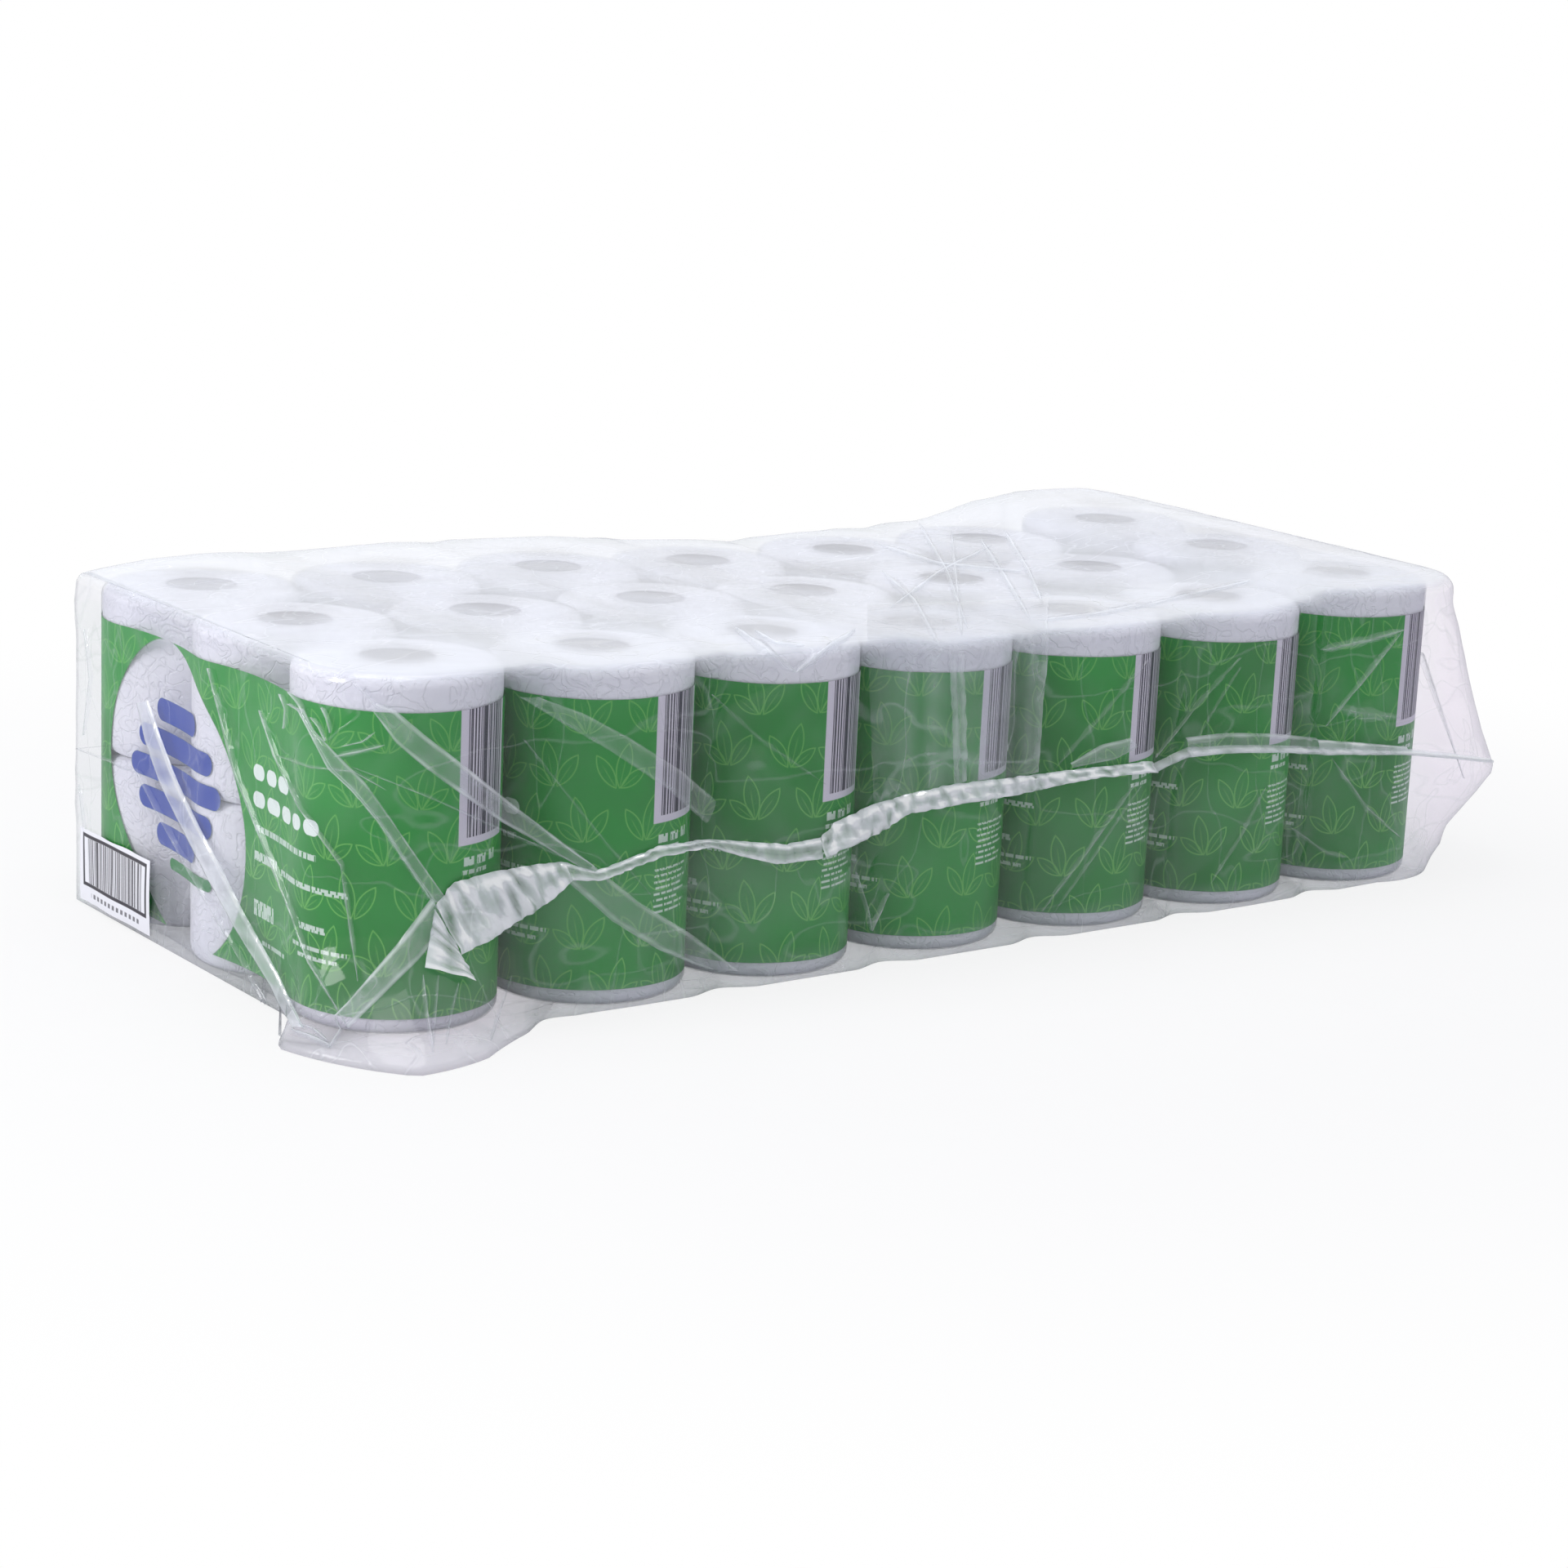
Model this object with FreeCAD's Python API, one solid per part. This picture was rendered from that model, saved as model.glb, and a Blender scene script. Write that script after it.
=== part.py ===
import FreeCAD, Part

import math
import os

# Toilet paper bale: seven small packs of six rolls, side by side in one clear film.
# X runs along the row of packs, Y from the front to the back, Z up.
# The origin is at the middle of the base. All sizes are in millimetres.

Vector = FreeCAD.Vector

# Rolls
ROLL_DIAMETER = 113.5
ROLL_HEIGHT = 94.0
ROLL_RIM_RADIUS = 3.2
CORE_DIAMETER = 42.0
CORE_WALL = 0.8

# Small packs
PACKS = 7
ROW_NAMES = ("front", "middle", "back")
LAYER_NAMES = ("lower", "upper")
ROLL_GAP = 0.3
WRAP_CLEARANCE = 0.15
WRAP_THICKNESS = 0.25
WRAP_RIM_RADIUS = 3.0
VALLEY_RADIUS = 250.0
PACK_GAP = 0.3
FIRST_PACK_GAP = 6.0

# How much taller than two rolls each pack stands, and how far it is pushed back
PACK_RISE = (4.5, 1.5, 0.5, -3.5, -3.5, -3.0, 3.5)
PACK_SHIFT = (1.5, -2.4, -1.7, 1.5, -0.5, -1.3, 2.9)

# Outer film, drawn thicker than the real one
FILM_THICKNESS = 0.6
FILM_CLEARANCE = 0.3
FILM_SLOPE = 0.1
FILM_STEP = 15.0
CORNER_STEPS = 5
BANDS_BELOW = (0.0, 0.12, 0.35, 0.65)
BANDS_ABOVE = (0.25, 0.6, 1.0)

# Welded fin: its depth, half its thickness at the root, how soon it reaches full depth,
# and its path as shares of the bale's length and height
FIN_DEPTH = 9.0
FIN_HALF_HEIGHT = 2.5
FIN_GROWTH = 30.0
FIN_PATH = (
    (-0.43, 0.25),
    (-0.4, 0.31),
    (-0.34, 0.44),
    (-0.24, 0.45),
    (-0.18, 0.39),
    (-0.09, 0.39),
    (0.04, 0.5),
    (0.2, 0.55),
    (0.31, 0.54),
    (0.45, 0.46),
    (0.5, 0.36),
)

# Loose film: a pointed skirt on the floor at the front left, a pocket past the right end
# and a square tent at the back left corner
SKIRT_REACH = 64.0
SKIRT_WIDTH = 110.0
SKIRT_POINT = 1.6
SKIRT_TURN = 2.6
SKIRT_RISE = 60.0
SKIRT_INSET = 22.0
POCKET_INSET = 50.0
POCKET_WIDTH = 260.0
TENT_REACH = 44.0
# Reach of the pocket at each height
POCKET_PROFILE = (
    (0.0, 19.0),
    (30.0, 33.0),
    (66.0, 65.0),
    (90.0, 54.0),
    (175.0, 22.0),
    (210.0, 18.0),
)
# How far the film stands over the packs along the back, by the share of the bale's length
BACK_LIFT = (
    (-0.5, 3.0),
    (-0.42, 6.0),
    (-0.2, 9.0),
    (-0.03, 5.0),
    (0.08, 0.0),
    (0.27, 3.0),
    (0.36, 12.0),
    (0.46, 12.0),
    (0.5, 7.0),
)

# Hollows of the film between two packs, along the front and the back
HOLLOW_DEPTH = 7.0
HOLLOW_WIDTH = 24.0

# Sharp folds: their width and height at the root end, and how far each one tapers
FOLD_WIDTH = 7.0
FOLD_HEIGHT = 3.0
FOLD_TAPER = 0.3
# Each fold along the front runs between two places, as shares of the length and the height
FRONT_FOLDS = (
    ((-0.425, 0.92), (-0.31, 0.57)),
    ((-0.31, 0.57), (-0.25, 0.47)),
    ((-0.3, 0.4), (-0.18, 0.05)),
    ((-0.2, 0.93), (-0.12, 0.86)),
    ((-0.12, 0.86), (-0.08, 0.94)),
    ((-0.35, 0.8), (-0.19, 0.62)),
    ((-0.08, 0.55), (-0.04, 0.9)),
    ((-0.02, 0.53), (-0.025, 0.95)),
    ((0.06, 0.55), (0.058, 0.96)),
    ((0.1, 0.6), (0.19, 0.9)),
    ((0.15, 0.2), (0.24, 0.5)),
    ((0.3, 0.58), (0.38, 0.85)),
    ((0.22, 0.62), (0.28, 0.94)),
    ((-0.05, 0.08), (0.0, 0.42)),
)
# Each fold across the top runs from front to back, as shares of the length
TOP_FOLDS = (-0.1, -0.02, 0.06)

# Label on the left end
LABEL_WIDTH = 92.0
LABEL_HEIGHT = 44.0
LABEL_THICKNESS = 0.15
LABEL_CLEARANCE = 0.1
LABEL_INSET = 8.0
LABEL_LIFT = 3.0

# Dependent sizes
ROLL_RADIUS = ROLL_DIAMETER / 2
ROW_PITCH = ROLL_DIAMETER + ROLL_GAP
WRAP_INNER_RADIUS = ROLL_RADIUS + WRAP_CLEARANCE
WRAP_OUTER_RADIUS = WRAP_INNER_RADIUS + WRAP_THICKNESS
PACK_PITCH = 2 * WRAP_OUTER_RADIUS + PACK_GAP
ROWS = len(ROW_NAMES)
LAYERS = len(LAYER_NAMES)
WRAP_BASE = FILM_THICKNESS
ROLL_BASE = WRAP_BASE + WRAP_THICKNESS
RIM_CUT = (2 - math.sqrt(2)) * WRAP_RIM_RADIUS
END_REACH = (ROWS - 1) / 2 * ROW_PITCH


def pack_x(pack):
    """X of a pack's middle before the bale is centred."""
    extra = FIRST_PACK_GAP - PACK_GAP if pack > 0 else 0.0
    return pack * PACK_PITCH + extra


ROW_LENGTH = pack_x(PACKS - 1)


def pack_place(pack):
    """Middle of a pack on the floor."""
    return Vector(pack_x(pack) - ROW_LENGTH / 2, PACK_SHIFT[pack], 0)


def roll_height(pack):
    return ROLL_HEIGHT + PACK_RISE[pack] / LAYERS


def pack_top(pack):
    """Height of the top of a pack's wrap."""
    return ROLL_BASE + LAYERS * roll_height(pack) + WRAP_THICKNESS


def roll_place(pack, row, layer):
    """Middle of the lower face of one roll."""
    across = (row - (ROWS - 1) / 2) * ROW_PITCH
    lift = ROLL_BASE + layer * roll_height(pack)
    return pack_place(pack) + Vector(0, across, lift)


def make_roll(place, height):
    """A wound roll with soft rims and the bore that its core fills."""
    body = Part.makeCylinder(ROLL_RADIUS, height, place)
    rims = [edge for edge in body.Edges if len(edge.Vertexes) == 1]
    body = body.makeFillet(ROLL_RIM_RADIUS, rims)
    bore = Part.makeCylinder(CORE_DIAMETER / 2, height, place)
    return body.cut(bore)


def make_core(place, height):
    outside = Part.makeCylinder(CORE_DIAMETER / 2, height, place)
    inside = Part.makeCylinder(CORE_DIAMETER / 2 - CORE_WALL, height, place)
    return outside.cut(inside)


def wrap_outline(place, radius, valley):
    """Closed outline round three rolls, with a hollow where two of them meet."""
    half = ROW_PITCH / 2
    reach = math.sqrt((radius + valley) ** 2 - half**2)
    middles = [(row - (ROWS - 1) / 2) * ROW_PITCH for row in range(ROWS)]
    joins = [(middles[row] + middles[row + 1]) / 2 for row in range(ROWS - 1)]
    share = radius / (radius + valley)
    edges = []

    def point(x, y):
        return place + Vector(x, y, 0)

    def arc(start, middle, end):
        edges.append(Part.Arc(start, middle, end).toShape())

    def tangent_points(side, join):
        low = point(side * reach * share, join - half + half * share)
        high = point(side * reach * share, join + half - half * share)
        return low, high

    for side in (1, -1):
        for join in joins:
            low, high = tangent_points(side, join)
            arc(low, point(side * (reach - valley), join), high)
        for row in range(1, ROWS - 1):
            start = tangent_points(side, joins[row - 1])[1]
            end = tangent_points(side, joins[row])[0]
            arc(start, point(side * radius, middles[row]), end)
    for join, middle, out in ((joins[0], middles[0], -1), (joins[-1], middles[-1], 1)):
        pick = 0 if out < 0 else 1
        start = tangent_points(-1, join)[pick]
        end = tangent_points(1, join)[pick]
        arc(start, point(0, middle + out * radius), end)
    return Part.Wire(Part.__sortEdges__(edges))


def wrap_block(pack, radius, valley, low, high, rim):
    """Solid block inside one face of a small pack's film."""
    place = pack_place(pack)
    place.z = low
    face = Part.Face(wrap_outline(place, radius, valley))
    block = face.extrude(Vector(0, 0, high - low))
    rims = [edge for edge in block.Edges if abs(edge.BoundBox.ZLength) < ROLL_GAP]
    return block.makeFillet(rim, rims)


def make_inner_wrap(pack):
    top = pack_top(pack)
    outside = wrap_block(pack, WRAP_OUTER_RADIUS, VALLEY_RADIUS, WRAP_BASE, top, WRAP_RIM_RADIUS)
    inside = wrap_block(
        pack,
        WRAP_INNER_RADIUS,
        VALLEY_RADIUS + WRAP_THICKNESS,
        ROLL_BASE,
        top - WRAP_THICKNESS,
        WRAP_RIM_RADIUS - WRAP_THICKNESS,
    )
    return outside.cut(inside)


def chain_points(front):
    """Points that the film goes round on the front or the back, from left to right."""
    half_step = math.radians(45.0 / CORNER_STEPS)
    around = WRAP_OUTER_RADIUS / math.cos(half_step)
    side = -1 if front else 1
    points = []
    for pack in range(PACKS):
        place = pack_place(pack)
        y = place.y + side * END_REACH
        for step in range(2 * CORNER_STEPS + 1):
            angle = 2 * half_step * step
            points.append((place.x - around * math.cos(angle), y + side * around * math.sin(angle)))
    if not front:
        points.append((points[0][0], points[0][1] + TENT_REACH))
    return sorted(points)


def hull(points, front):
    """Taut line along one long side, as the points where it turns."""
    sign = 1 if front else -1
    line = []
    for point in points:
        while len(line) > 1:
            ax = line[-1][0] - line[-2][0]
            ay = line[-1][1] - line[-2][1]
            bx = point[0] - line[-1][0]
            by = point[1] - line[-1][1]
            if sign * (ax * by - ay * bx) > 0:
                break
            line.pop()
        line.append(point)
    return line


def line_at(line, x):
    """Y of a taut line at x."""
    for start, end in zip(line, line[1:]):
        if start[0] <= x <= end[0] and end[0] > start[0]:
            share = (x - start[0]) / (end[0] - start[0])
            return start[1] + share * (end[1] - start[1])
    return line[-1][1]


def top_at(x):
    """Inside height of the film over the packs. It slopes from a high pack to a low one."""
    heights = []
    for pack in range(PACKS):
        past = abs(x - pack_place(pack).x) - WRAP_OUTER_RADIUS
        heights.append(pack_top(pack) - FILM_SLOPE * max(0.0, past))
    return max(heights)


def divided(start, end):
    """Values from start up to end, without end, no further apart than the film's step."""
    count = max(1, math.ceil(abs(end - start) / FILM_STEP))
    return [start + (end - start) * step / count for step in range(count)]


def film_stations(low_line, high_line):
    """X of each section through the film, with one wherever the film turns."""
    turns = [point[0] for point in low_line + high_line]
    for pack in range(PACKS):
        x = pack_place(pack).x
        turns += [x - WRAP_OUTER_RADIUS, x + WRAP_OUTER_RADIUS]
    for x in pack_joints():
        turns += [x - HOLLOW_WIDTH, x, x + HOLLOW_WIDTH]
    turns.sort()
    kept = [turns[0]]
    for x in turns:
        if x - kept[-1] > PACK_GAP and turns[-1] - x > PACK_GAP:
            kept.append(x)
    kept.append(turns[-1])
    stations = []
    for start, end in zip(kept, kept[1:]):
        stations += divided(start, end)
    return stations + [turns[-1]]


def pack_joints():
    """X of each place where two packs meet."""
    places = [pack_place(pack).x for pack in range(PACKS)]
    return [(start + end) / 2 for start, end in zip(places, places[1:])]


def hollow_at(x):
    """How far the film dips in between two packs."""
    nearest = min(abs(x - joint) for joint in pack_joints())
    return HOLLOW_DEPTH * max(0.0, 1 - nearest / HOLLOW_WIDTH)


def film_outline():
    """Outline of the packs that the film goes round, and the stations along it."""
    low_line = hull(chain_points(True), True)
    high_line = hull(chain_points(False), False)
    stations = film_stations(low_line, high_line)
    front = [(x, line_at(low_line, x) + hollow_at(x)) for x in stations]
    back = [(x, line_at(high_line, x) - hollow_at(x)) for x in reversed(stations)]
    right = [(stations[-1], y) for y in divided(front[-1][1], back[0][1])[1:]]
    left = [(stations[0], y) for y in divided(back[-1][1], front[0][1])[1:]]
    return front + right + back + left, stations


def edge_normal(start, end):
    dx = end[0] - start[0]
    dy = end[1] - start[1]
    length = math.hypot(dx, dy)
    return dy / length, -dx / length


def outward(outline, index):
    """Step out of the bale at one point, long enough to move both walls there by one."""
    point = outline[index]
    before = edge_normal(outline[index - 1], point)
    after = edge_normal(point, outline[(index + 1) % len(outline)])
    x = before[0] + after[0]
    y = before[1] + after[1]
    scale = 2 / (x * x + y * y)
    return x * scale, y * scale


def away_from_rolls(point):
    """Direction from the nearest of the end rolls' middles to a point of the outline."""
    near_x = min(max(point[0], pack_place(0).x), pack_place(PACKS - 1).x)
    near_y = min(max(point[1], -END_REACH), END_REACH)
    length = math.hypot(point[0] - near_x, point[1] - near_y)
    return (point[0] - near_x) / length, (point[1] - near_y) / length


def bump(distance, width):
    """Smooth hill, one in its middle and nothing past its width."""
    if abs(distance) >= width:
        return 0.0
    return 0.5 + 0.5 * math.cos(math.pi * distance / width)


def path_at(path, along):
    """Value of a path of (place, value) corners at one place."""
    if along <= path[0][0]:
        return path[0][1]
    for start, end in zip(path, path[1:]):
        if along <= end[0]:
            share = (along - start[0]) / (end[0] - start[0])
            return start[1] + share * (end[1] - start[1])
    return path[-1][1]


def looseness(point, height):
    """Step from the packs to where the loose film hangs."""
    x, y = point
    out = away_from_rolls(point)
    past = abs(x - pack_place(0).x + SKIRT_INSET) / SKIRT_WIDTH
    skirt = SKIRT_REACH * max(0.0, 1 - past) ** SKIRT_POINT
    skirt *= min(1.0, SKIRT_TURN * max(0.0, -out[1]))
    skirt *= max(0.0, 1 - height / SKIRT_RISE) ** 2
    pocket_y = POCKET_INSET - END_REACH - WRAP_OUTER_RADIUS
    pocket = path_at(POCKET_PROFILE, height) * bump(y - pocket_y, POCKET_WIDTH)
    pocket *= max(0.0, out[0])
    return out[0] * (skirt + pocket), out[1] * (skirt + pocket)


def lift_at(point, length):
    """How far the film stands over the packs at one place of its outline."""
    share = min(1.0, max(0.0, 0.5 + point[1] / (2 * END_REACH)))
    return path_at(BACK_LIFT, point[0] / length) * share


def fin_depth(point, length):
    """The fin grows from its start at the front left and runs round to the right end."""
    if point[1] > END_REACH:
        return 0.0
    out = away_from_rolls(point)
    start = FIN_PATH[0][0] * length
    grown = min(1.0, max(0.0, (point[0] - start) / FIN_GROWTH))
    return FIN_DEPTH * grown * max(0.0, -out[1], out[0])


def film_column(point, out, offset, base, length, finned):
    """One upright line of the film, from the floor to its top edge."""
    x, y = point
    top = top_at(x) + lift_at(point, length) + offset
    middle = path_at(FIN_PATH, x / length) * top
    low = middle - FIN_HALF_HEIGHT
    high = middle + FIN_HALF_HEIGHT
    upper = top - RIM_CUT
    heights = [base + band * (low - base) for band in BANDS_BELOW]
    heights += [low, middle, high]
    heights += [high + band * (upper - high) for band in BANDS_ABOVE]
    column = []
    for height in heights:
        loose_x, loose_y = looseness(point, height)
        away = offset
        if finned and height == middle:
            away += fin_depth(point, length)
        column.append(Vector(x + loose_x + out[0] * away, y + loose_y + out[1] * away, height))
    inset = offset - RIM_CUT
    column.append(Vector(x + out[0] * inset, y + out[1] * inset, top))
    return column


def fan(hub, rim):
    return [(hub, start, end) for start, end in zip(rim, rim[1:])]


def top_triangles(ring, count, right_count):
    """Strips across the top, from each station on the front to the one on the back."""
    front = ring[:count]
    right = ring[count : count + right_count]
    back = ring[count + right_count : 2 * count + right_count]
    left = ring[2 * count + right_count :]
    back.reverse()
    triangles = []
    for index in range(1, count - 2):
        triangles.append((front[index], front[index + 1], back[index + 1]))
        triangles.append((front[index], back[index + 1], back[index]))
    triangles += fan(front[1], [back[1], back[0]] + left + [front[0]])
    triangles += fan(back[-2], [front[-2], front[-1]] + right + [back[-1]])
    return triangles


def triangle_face(corners):
    return Part.Face(Part.makePolygon([corners[0], corners[1], corners[2], corners[0]]))


def film_side(offset, base, finned):
    """Solid inside one side of the film, which lies offset outside the packs."""
    outline, stations = film_outline()
    length = stations[-1] - stations[0]
    columns = []
    for index, point in enumerate(outline):
        out = outward(outline, index)
        columns.append(film_column(point, out, offset, base, length, finned))
    triangles = []
    for here, after in zip(columns, columns[1:] + columns[:1]):
        for level in range(len(here) - 1):
            triangles.append((here[level], after[level], after[level + 1]))
            triangles.append((here[level], after[level + 1], here[level + 1]))
    count = len(stations)
    right_count = len([point for point in outline[count:] if point[0] == stations[-1]]) - 1
    triangles += top_triangles([column[-1] for column in columns], count, right_count)
    faces = [triangle_face(corners) for corners in triangles]
    base_loop = [column[0] for column in columns]
    faces.append(Part.Face(Part.makePolygon(base_loop + base_loop[:1])))
    return Part.Solid(Part.makeShell(faces))


def wedge(start, end, out):
    """Pinched fold with a three-sided section, from start to end, standing out of the film."""
    across = (end - start).cross(out)
    across.normalize()
    sections = []
    for place, scale in ((start, 1.0), (end, FOLD_TAPER)):
        side = across * (FOLD_WIDTH / 2 * scale)
        root = out * -FILM_CLEARANCE
        crest = place + out * (FOLD_HEIGHT * scale)
        corners = [place - side + root, place + side + root, crest]
        sections.append(Part.makePolygon(corners + corners[:1]))
    return Part.makeLoft(sections, True, True)


def make_folds(offset):
    """Every sharp fold of the film, on its outer face."""
    low_line = hull(chain_points(True), True)
    high_line = hull(chain_points(False), False)
    length = low_line[-1][0] - low_line[0][0]
    folds = []
    for ends in FRONT_FOLDS:
        places = []
        for along, rise in ends:
            x = along * length
            y = line_at(low_line, x) + hollow_at(x) - offset
            places.append(Vector(x, y, rise * (top_at(x) + offset)))
        folds.append(wedge(places[0], places[1], Vector(0, -1, 0)))
    for along in TOP_FOLDS:
        x = along * length
        z = top_at(x) + offset
        front = Vector(x, line_at(low_line, x) + hollow_at(x) + FOLD_WIDTH, z)
        back_y = line_at(high_line, x) - hollow_at(x) - FOLD_WIDTH
        back = Vector(x, back_y, z + lift_at((x, back_y), length))
        folds.append(wedge(front, back, Vector(0, 0, 1)))
    return folds


def make_outer_film():
    offset = FILM_CLEARANCE + FILM_THICKNESS
    outside = film_side(offset, 0.0, True).fuse(make_folds(offset))
    hollow = film_side(FILM_CLEARANCE, FILM_THICKNESS, False).Shells[0]
    hollow.reverse()
    return Part.makeSolid(Part.Compound([outside.Shells[0], hollow]))


def make_label():
    """Paper sticker on the flat left end of the film, close to the back corner."""
    outline = film_outline()[0]
    left = min(point[0] for point in outline)
    back = max(point[1] for point in outline if point[0] == left)
    x = left - FILM_CLEARANCE - FILM_THICKNESS - LABEL_CLEARANCE - LABEL_THICKNESS
    corner = Vector(x, back - LABEL_INSET - LABEL_WIDTH, LABEL_LIFT)
    return Part.makeBox(LABEL_THICKNESS, LABEL_WIDTH, LABEL_HEIGHT, corner)


def export(shape, name):
    """Writes one node with the base's middle at the origin."""
    placed = shape.copy()
    placed.translate(ORIGIN_SHIFT)
    placed.exportStep(f"parts/{name}.step")


def main():
    os.makedirs("parts", exist_ok=True)
    for pack in range(PACKS):
        cores = []
        for row, row_name in enumerate(ROW_NAMES):
            for layer, layer_name in enumerate(LAYER_NAMES):
                place = roll_place(pack, row, layer)
                height = roll_height(pack)
                export(make_roll(place, height), f"roll_p{pack + 1}_{row_name}_{layer_name}")
                cores.append(make_core(place, height))
        export(Part.Compound(cores), f"cores_pack_{pack + 1}")
        export(make_inner_wrap(pack), f"inner_wrap_{pack + 1}")
    export(OUTER_FILM, "outer_film")
    export(LABEL, "barcode_label")


OUTER_FILM = make_outer_film()
LABEL = make_label()
BOX = Part.Compound([OUTER_FILM, LABEL]).BoundBox
ORIGIN_SHIFT = Vector(-BOX.Center.x, -BOX.Center.y, 0)
main()
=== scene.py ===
import math

import bpy
import numpy as np
from mathutils import Matrix, Vector, noise
from mathutils.bvhtree import BVHTree


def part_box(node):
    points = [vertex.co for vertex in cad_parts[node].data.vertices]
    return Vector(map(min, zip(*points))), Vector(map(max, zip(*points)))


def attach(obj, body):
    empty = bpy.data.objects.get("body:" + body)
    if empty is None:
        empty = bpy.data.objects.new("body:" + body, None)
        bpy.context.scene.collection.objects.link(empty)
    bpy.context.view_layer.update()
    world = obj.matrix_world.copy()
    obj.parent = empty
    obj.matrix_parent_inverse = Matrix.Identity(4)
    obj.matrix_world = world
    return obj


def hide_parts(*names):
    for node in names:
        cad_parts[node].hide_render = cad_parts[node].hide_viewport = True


# Toilet paper bale: seven small packs of six rolls in one clear, creased film.
# X runs along the row of packs, Y from the front to the back, Z up. Sizes are in metres,
# apart from places in pixels of the photograph and the values that say millimetres.

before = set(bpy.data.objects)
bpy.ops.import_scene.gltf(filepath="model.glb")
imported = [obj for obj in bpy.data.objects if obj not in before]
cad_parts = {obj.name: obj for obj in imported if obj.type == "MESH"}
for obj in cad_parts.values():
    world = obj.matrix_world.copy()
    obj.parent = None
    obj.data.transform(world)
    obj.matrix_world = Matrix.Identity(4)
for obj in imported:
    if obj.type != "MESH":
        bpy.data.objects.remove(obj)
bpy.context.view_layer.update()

PACKS = 7
ROW_NAMES = ("front", "middle", "back")
LAYER_NAMES = ("lower", "upper")
MM = 0.001
QUARTER = math.pi / 2

# Rolls and their wraps
ROLL_RADIUS = 0.05675
CORE_RADIUS = 0.021
SOFT_RIM = 0.0065
ROW_PITCH = 0.1138
WRAP_RADIUS = 0.05712
VALLEY_RADIUS = 0.25
WRAP_RIM = 0.0062
DIP_RADIUS = 0.024
DIP_DEPTH = 0.0022

# Outer film
FILM_OFFSET = 0.0009
FILM_RIM = 0.007
FILM_SLOPE = 0.1
FILM_STEP = 0.0032
FILM_ROWS = 56
FILM_RIM_STEPS = 6
FILM_ACROSS = 64
# Heights of the film's creases and waves, which fade towards its foot
CREASE_HEIGHT = 0.0022
WAVE_HEIGHT = 0.0035
FOOT_FADE = 0.012
TOP_CREASE_HEIGHT = 0.0014
TOP_WAVE_HEIGHT = 0.0006
# Haze of the film, from clear at nothing to white at one
WALL_HAZE = 0.012
CREASE_HAZE = 0.06
LOOSE_HAZE = 0.05
# At the foot the white veil is partly the film's own haze and partly painted light that lifts
# the shade at the packs' feet
FOOT_HAZE_AND_PAINTED_LIGHT = 0.26
DULL_HAZE = 0.05
# The top's haze is partly the film's own and partly painted sheen, which makes the top far
# whiter than the walls
TOP_HAZE_AND_SHEEN = 0.47
TOP_FRONT_HAZE = 0.22
TOP_CREASE_HAZE = 0.10
TOP_CLOUD_HAZE = 0.14
# Hollows between the packs, the skirt at the front left, the pocket at the right end and the
# tent at the back left
HOLLOW_DEPTH = 0.007
HOLLOW_WIDTH = 0.024
SKIRT_REACH = 0.064
SKIRT_WIDTH = 0.110
SKIRT_POINT = 1.6
SKIRT_TURN = 2.6
SKIRT_RISE = 0.060
SKIRT_INSET = 0.022
POCKET_INSET = 0.050
POCKET_WIDTH = 0.260
TENT_REACH = 0.044
LOOSE_REACH = 0.02
# Reach of the pocket at each height
POCKET_PROFILE = (
    (0.0, 0.019), (0.030, 0.033), (0.066, 0.065), (0.090, 0.054), (0.175, 0.022), (0.210, 0.018),
)
# How far the film stands over the packs along the back, by the share of the bale's length
BACK_LIFT = (
    (-0.5, 0.003), (-0.42, 0.006), (-0.2, 0.009), (-0.03, 0.005), (0.08, 0.0),
    (0.27, 0.003), (0.36, 0.012), (0.46, 0.012), (0.5, 0.007),
)

# Camera, with its place counted from pack 1's middle on the floor
CAMERA_OFFSET = Vector((-0.916074, -1.701708, 0.564092))
CAMERA_YAW = 0.63656
CAMERA_PITCH = 0.232138
CAMERA_ROLL = 0.046185
FOCAL_PIXELS = 4301.1155
IMAGE_SIDE = 1920
SENSOR_WIDTH = 36
CLIP_END = 30


# Places of the packs, read from the model

def pack_middle(pack):
    low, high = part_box(f"cores_pack_{pack + 1}")
    return (low + high) / 2


PACK_X = [pack_middle(pack).x for pack in range(PACKS)]
PACK_Y = [pack_middle(pack).y for pack in range(PACKS)]
PACK_TOP = [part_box(f"inner_wrap_{pack + 1}")[1].z for pack in range(PACKS)]
PACK_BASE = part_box("inner_wrap_1")[0].z
# Middle of the film's depth
SHIFT_Y = PACK_Y[0] - 0.0015
JOINTS = [(a + b) / 2 for a, b in zip(PACK_X, PACK_X[1:])]


# Camera

def camera_axes():
    forward = Vector((
        math.sin(CAMERA_YAW) * math.cos(CAMERA_PITCH),
        math.cos(CAMERA_YAW) * math.cos(CAMERA_PITCH),
        -math.sin(CAMERA_PITCH),
    ))
    level = Vector((math.cos(CAMERA_YAW), -math.sin(CAMERA_YAW), 0))
    upright = level.cross(forward)
    right = math.cos(CAMERA_ROLL) * level + math.sin(CAMERA_ROLL) * upright
    up = math.cos(CAMERA_ROLL) * upright - math.sin(CAMERA_ROLL) * level
    return right, up, forward


def camera_place():
    return Vector((PACK_X[0], PACK_Y[0], 0)) + CAMERA_OFFSET


def pixel_ray(px, py):
    right, up, forward = camera_axes()
    half = IMAGE_SIDE / 2
    return (forward * FOCAL_PIXELS + right * (px - half) - up * (py - half)).normalized()


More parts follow.
